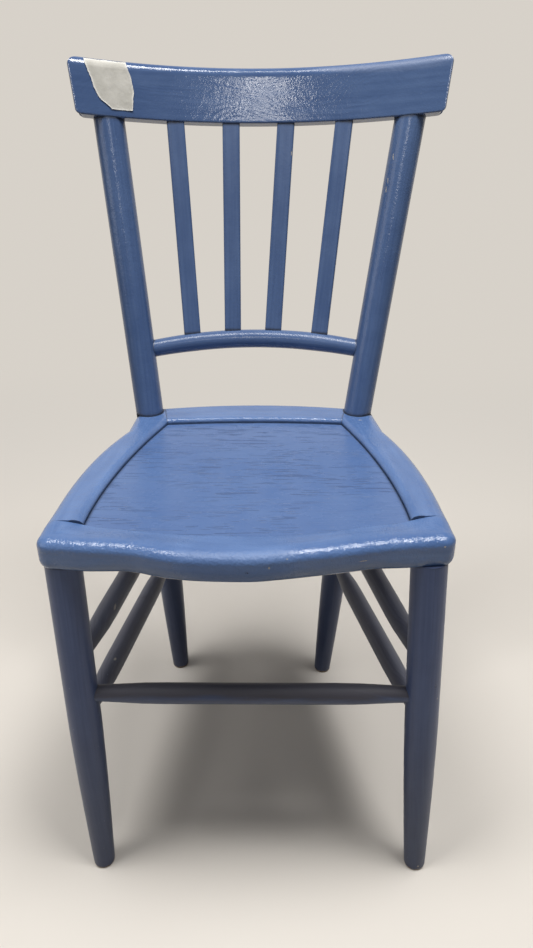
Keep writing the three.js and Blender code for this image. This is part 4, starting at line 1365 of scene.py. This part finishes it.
BACK_PAINT = ((0.048, 0.088, 0.2), (0.081, 0.135, 0.27))
SEAT_PAINT = ((0.066, 0.13, 0.3), (0.112, 0.195, 0.4))
PANEL_PAINT = ((0.067, 0.127, 0.295), (0.086, 0.152, 0.325))
# darker and greyer than the back paint: partly dirt on the legs, partly painted shade
LEG_PAINT_AND_SHADE = ((0.046, 0.07, 0.165), (0.078, 0.113, 0.23))
SIDE_STRETCHER_PAINT = ((0.076, 0.088, 0.138), (0.15, 0.168, 0.23))
FRONT_STRETCHER_PAINT = ((0.045, 0.066, 0.138), (0.08, 0.11, 0.2))
BEECH = ((0.3, 0.19, 0.1), (0.42, 0.29, 0.16))
SEAT_CHIPS = (
    ((0.0269, -0.2148, 0.4325), (0.001, 0.002, 0.0009)),
    ((0.0116, -0.2188, 0.426), (0.0012, 0.002, 0.0016)),
    ((0.1664, -0.1914, 0.4298), (0.0016, 0.002, 0.0012)),
    ((0.119, 0.0723, 0.441), (0.0026, 0.0012, 0.002)),
    ((0.1574, -0.0637, 0.4382), (0.0012, 0.0024, 0.002)),
    ((0.0939, -0.2027, 0.4225), (0.006, 0.002, 0.0006)),
)
SEAT_DARK_CHIPS = (
    ((-0.0943, -0.2032, 0.4348), (0.004, 0.002, 0.0013)),
    ((-0.0071, -0.2205, 0.422), (0.0022, 0.002, 0.001)),
)
CREST_CHIPS = tuple(
    ((x, 0.1892 - 0.05 * (x + 0.1235), 0.8111 - 0.02 * (x + 0.1235)), (0.005, 0.002, 0.0005))
    for x in (-0.135, -0.112, -0.094, -0.07)
)
POST_CHIPS = (
    ((0.144, 0.154, 0.6905), (0.0009, 0.003, 0.0062)),
    ((0.1455, 0.156, 0.7015), (0.0005, 0.003, 0.008)),
    ((0.1504, 0.161, 0.726), (0.0007, 0.003, 0.006)),
)
LEG_CHIPS = (
    ((0.156, -0.1947, 0.2865), (0.0012, 0.002, 0.0012)),
    ((0.177, -0.1934, 0.2544), (0.0014, 0.002, 0.0014)),
    ((0.1768, -0.1876, 0.3139), (0.001, 0.002, 0.001)),
    ((0.179, -0.2019, 0.0083), (0.0014, 0.002, 0.0018)),
)
STRETCHER_CHIPS = (
    ((-0.1575, -0.0993, 0.2927), (0.0012, 0.006, 0.004)),
    ((-0.1575, -0.0963, 0.2977), (0.0016, 0.002, 0.0016)),
    ((-0.1633, -0.1049, 0.2245), (0.003, 0.003, 0.001)),
    ((-0.1625, -0.1009, 0.2275), (0.001, 0.007, 0.003)),
    ((-0.1653, -0.1089, 0.2225), (0.0008, 0.005, 0.003)),
)


class Finishes:
    """Every finish of the chair."""

    def __init__(self) -> None:
        """Makes each material once."""
        self.seat = Paint(
            "seat rail paint", *SEAT_PAINT, streak=(7.0, 90.0), peel=0.0004, dirt=0.06, specks=0.5,
            rough=0.17, matte=(((-0.018, -0.21, 0.43), (0.065, 0.04, 0.03)),), chips=SEAT_CHIPS,
            dark_chips=SEAT_DARK_CHIPS,
            rings=(((-0.1391, 0.1004, 0.0), 0.0168), ((0.1187, 0.1004, 0.0), 0.0168)),
        ).make()
        self.panel = Paint(
            "seat panel paint", *PANEL_PAINT, streak=(60.0, 9.0), peel=0.00004, dirt=0.03, specks=0.1,
            rough=0.27, cracks=0.95,
        ).make()
        self.crest = Paint(
            "crest rail paint", *BACK_PAINT, streak=(8.0, 160.0), peel=0.00009, dirt=0.08, rough=0.15,
            brush=0.00009, arcs=0.00002, matte=(((0.115, 0.17, 0.822), (0.115, 0.07, 0.014)),),
            chips=CREST_CHIPS,
        ).make()
        self.post = Paint(
            "back post paint", *BACK_PAINT, peel=0.00018, dirt=0.12, rough=0.21, chips=POST_CHIPS
        ).make()
        self.lower_rail = Paint("lower back rail paint", *BACK_PAINT, dirt=0.14, peel=0.00012).make()
        self.slat = Paint(
            "slat paint", *BACK_PAINT, dirt=0.14, grain=0.35, specks=0.2, rough=0.34,
            chips=(((0.0356, 0.184, 0.7295), (0.0008, 0.003, 0.0036)),),
        ).make()
        self.leg = Paint(
            "leg paint and shade", *LEG_PAINT_AND_SHADE, dirt=0.27, grain=0.5, specks=0.5, rough=0.36, foot_wear=True,
            low_dark=0.42, index=1.4, chips=LEG_CHIPS,
            dark_chips=(((0.1729, -0.195, 0.2716), (0.0016, 0.002, 0.0034)),),
        ).make()
        self.side_stretcher = Paint(
            "side stretcher paint", *SIDE_STRETCHER_PAINT, dirt=0.5, grain=0.7, specks=0.5, rough=0.4,
            top_dirt=0.3, index=1.42, chips=STRETCHER_CHIPS,
        ).make()
        self.front_stretcher = Paint(
            "front stretcher paint", *FRONT_STRETCHER_PAINT, dirt=0.25, grain=0.8, specks=0.2, rough=0.38,
            top_dirt=0.75, index=1.42,
        ).make()
        self.paper = paper_finish()
        self.wood = Paint("bare wood", *BEECH, dirt=0.05, specks=0.0, rough=0.6).make()


def backdrop() -> Finish:
    """A matt floor that grows into a pale, evenly bright wall; it sends back less light than it shows."""
    s = Shader("backdrop")
    far = s.part(s.place, 1).step(0.35, 1.6)
    s.set(Base_Color=s.mix(far, (0.7, 0.66, 0.61), (0.84, 0.81, 0.77)), Roughness=0.75)
    glow = s.node("ShaderNodeEmission", {}, (0.68, 0.64, 0.585))
    dim = s.node("ShaderNodeBsdfDiffuse", {}, (0.31, 0.26, 0.205))
    path = s.tree.nodes.new("ShaderNodeLightPath")
    seen, glossy, through = (
        Wire(s, path.outputs[f"Is {kind} Ray"]) for kind in ("Camera", "Glossy", "Transmission")
    )
    pale = s.node("ShaderNodeMixShader", {}, far, Wire(s, s.surface.outputs["BSDF"]), glow)
    shown = s.node("ShaderNodeMixShader", {}, seen.most(glossy).most(through), dim, pale)
    s.feed(s.output.inputs["Surface"], shown)
    return s.material


@dataclass(frozen=True)
class Lamp:
    """A soft rectangular light, in metres and watts."""

    name: str
    place: Colour
    aim: Colour
    size: Pair
    power: float
    colour: Colour = (1.0, 0.99, 0.97)

    def build(self) -> None:
        """Puts it in the scene."""
        lamp = bpy.data.lights.new(self.name, "AREA")
        lamp.shape = "RECTANGLE"
        lamp.size, lamp.size_y = self.size
        lamp.energy = self.power
        lamp.color = self.colour
        away = unit(np.array(self.place) - np.array(self.aim))
        side = unit(np.cross(UPRIGHT, away))
        put(bpy.data.objects.new(self.name, lamp), (side, np.cross(away, side), away), self.place)


def put(thing: bpy.types.Object, axes: tuple[np.ndarray, np.ndarray, np.ndarray], place: Colour) -> None:
    """Links an object with its three axes and its place."""
    turn = np.eye(4)
    turn[:3, :3] = np.stack(axes, 1)
    turn[:3, 3] = place
    thing.matrix_world = Matrix(turn.tolist())
    bpy.context.scene.collection.objects.link(thing)


LAMPS = (
    Lamp("window", (-0.05, -2.07, 2.06), (0.0, 0.197, 0.787), (0.24, 0.26), 3.9, (1.0, 0.98, 0.95)),
    Lamp("fill left", (-2.6, -0.9, 1.7), (0.0, 0.1, 0.5), (1.6, 1.6), 9.0, (1.0, 0.97, 0.93)),
    Lamp("fill right", (2.7, 0.2, 1.9), (0.0, 0.1, 0.5), (1.6, 1.6), 0.5, (0.96, 0.98, 1.0)),
    Lamp("strip left", (-0.7, -0.3, 2.9), (-0.4, -0.1, 0.4), (0.7, 1.0), 38.0),
    Lamp("strip right", (0.58, -0.3, 2.9), (0.4, -0.1, 0.4), (0.78, 1.0), 56.0),
)


@dataclass(frozen=True)
class Studio:
    """Floor, backdrop, lights and camera.

    Lengths are in metres, but the camera's place and sensor are in millimetres; focal is a share of
    the sensor's height.
    """

    camera_place: tuple[float, float, float] = (25.4, -529.4, 771.4)
    pitch: float = np.radians(26.89)
    yaw: float = np.radians(0.79)
    roll: float = np.radians(-0.34)
    focal: float = 711.8 / 948.0
    sensor: float = 24.0
    half_width: float = 7.0
    curve_starts: float = 2.2
    curve: float = 1.2

    def build(self) -> None:
        """Sets up everything round the chair."""
        self._floor()
        self._world()
        for lamp in LAMPS:
            lamp.build()
        self._camera()

    def _floor(self) -> None:
        """A pale floor that rises to a wall behind in one curve: a line in Y and Z, carried along X."""
        turn = np.linspace(0.1, np.pi / 2, 12)
        y = [np.linspace(-6.0, self.curve_starts, 30), self.curve_starts + self.curve * np.sin(turn)]
        y = np.concatenate([*y, np.full(8, self.curve_starts + self.curve)])
        z = np.concatenate([np.zeros(30), self.curve - self.curve * np.cos(turn), np.linspace(1.4, 6.0, 8)])
        x, y = np.meshgrid(np.linspace(-self.half_width, self.half_width, 12), y)
        rows, columns = x.shape
        grid = np.stack([x, y, np.broadcast_to(z[:, None], x.shape)], -1)
        i, j = np.meshgrid(np.arange(rows - 1), np.arange(columns - 1), indexing="ij")
        here = i * columns + j
        faces = np.stack([here, here + 1, here + columns + 1, here + columns], -1).reshape(-1, 4)
        mesh = bpy.data.meshes.new("floor")
        mesh.from_pydata(grid.reshape(-1, 3).tolist(), [], faces.tolist())
        mesh.shade_smooth()
        mesh.materials.append(backdrop())
        floor = bpy.data.objects.new("floor", mesh)
        bpy.context.scene.collection.objects.link(floor)

    @staticmethod
    def _world() -> None:
        """An even pale sky."""
        world = bpy.data.worlds.new("studio")
        bpy.context.scene.world = world
        world.use_nodes = True
        background = world.node_tree.nodes["Background"]
        background.inputs["Color"].default_value = (0.93, 0.94, 0.96, 1.0)
        background.inputs["Strength"].default_value = 0.17

    def _camera(self) -> None:
        """The camera at the photograph's place and angle."""
        ahead = np.array([-np.sin(self.yaw), np.cos(self.yaw), 0.0])
        aside = np.array([np.cos(self.yaw), np.sin(self.yaw), 0.0])
        look = np.cos(self.pitch) * ahead - np.sin(self.pitch) * np.array(UPRIGHT)
        up = np.sin(self.pitch) * ahead + np.cos(self.pitch) * np.array(UPRIGHT)
        right = np.cos(self.roll) * aside + np.sin(self.roll) * up
        top = -np.sin(self.roll) * aside + np.cos(self.roll) * up
        lens = bpy.data.cameras.new("camera")
        lens.sensor_fit = "VERTICAL"
        lens.sensor_height = self.sensor
        lens.lens = self.sensor * self.focal
        camera = bpy.data.objects.new("camera", lens)
        put(camera, (right, top, -look), (np.array(self.camera_place) + SHIFT) * MM)
        bpy.context.scene.camera = camera


def main() -> None:
    """Builds the chair piece by piece, then the studio round it."""
    logging.basicConfig(level=logging.INFO, format="%(name)s: %(message)s")
    bpy.context.scene.view_settings.view_transform = "Standard"
    finishes = Finishes()
    for assembly in (Seat(finishes), Underframe(finishes), Back(finishes)):
        assembly.build()
        for piece in assembly.pieces:
            log.info("%s: %d faces", piece.name, len(piece.data.polygons))
    for name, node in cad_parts.items():
        if "dowel" in name:
            node.data.materials.clear()
            node.data.materials.append(finishes.wood)
    Studio().build()


if __name__ == "__main__":
    main()
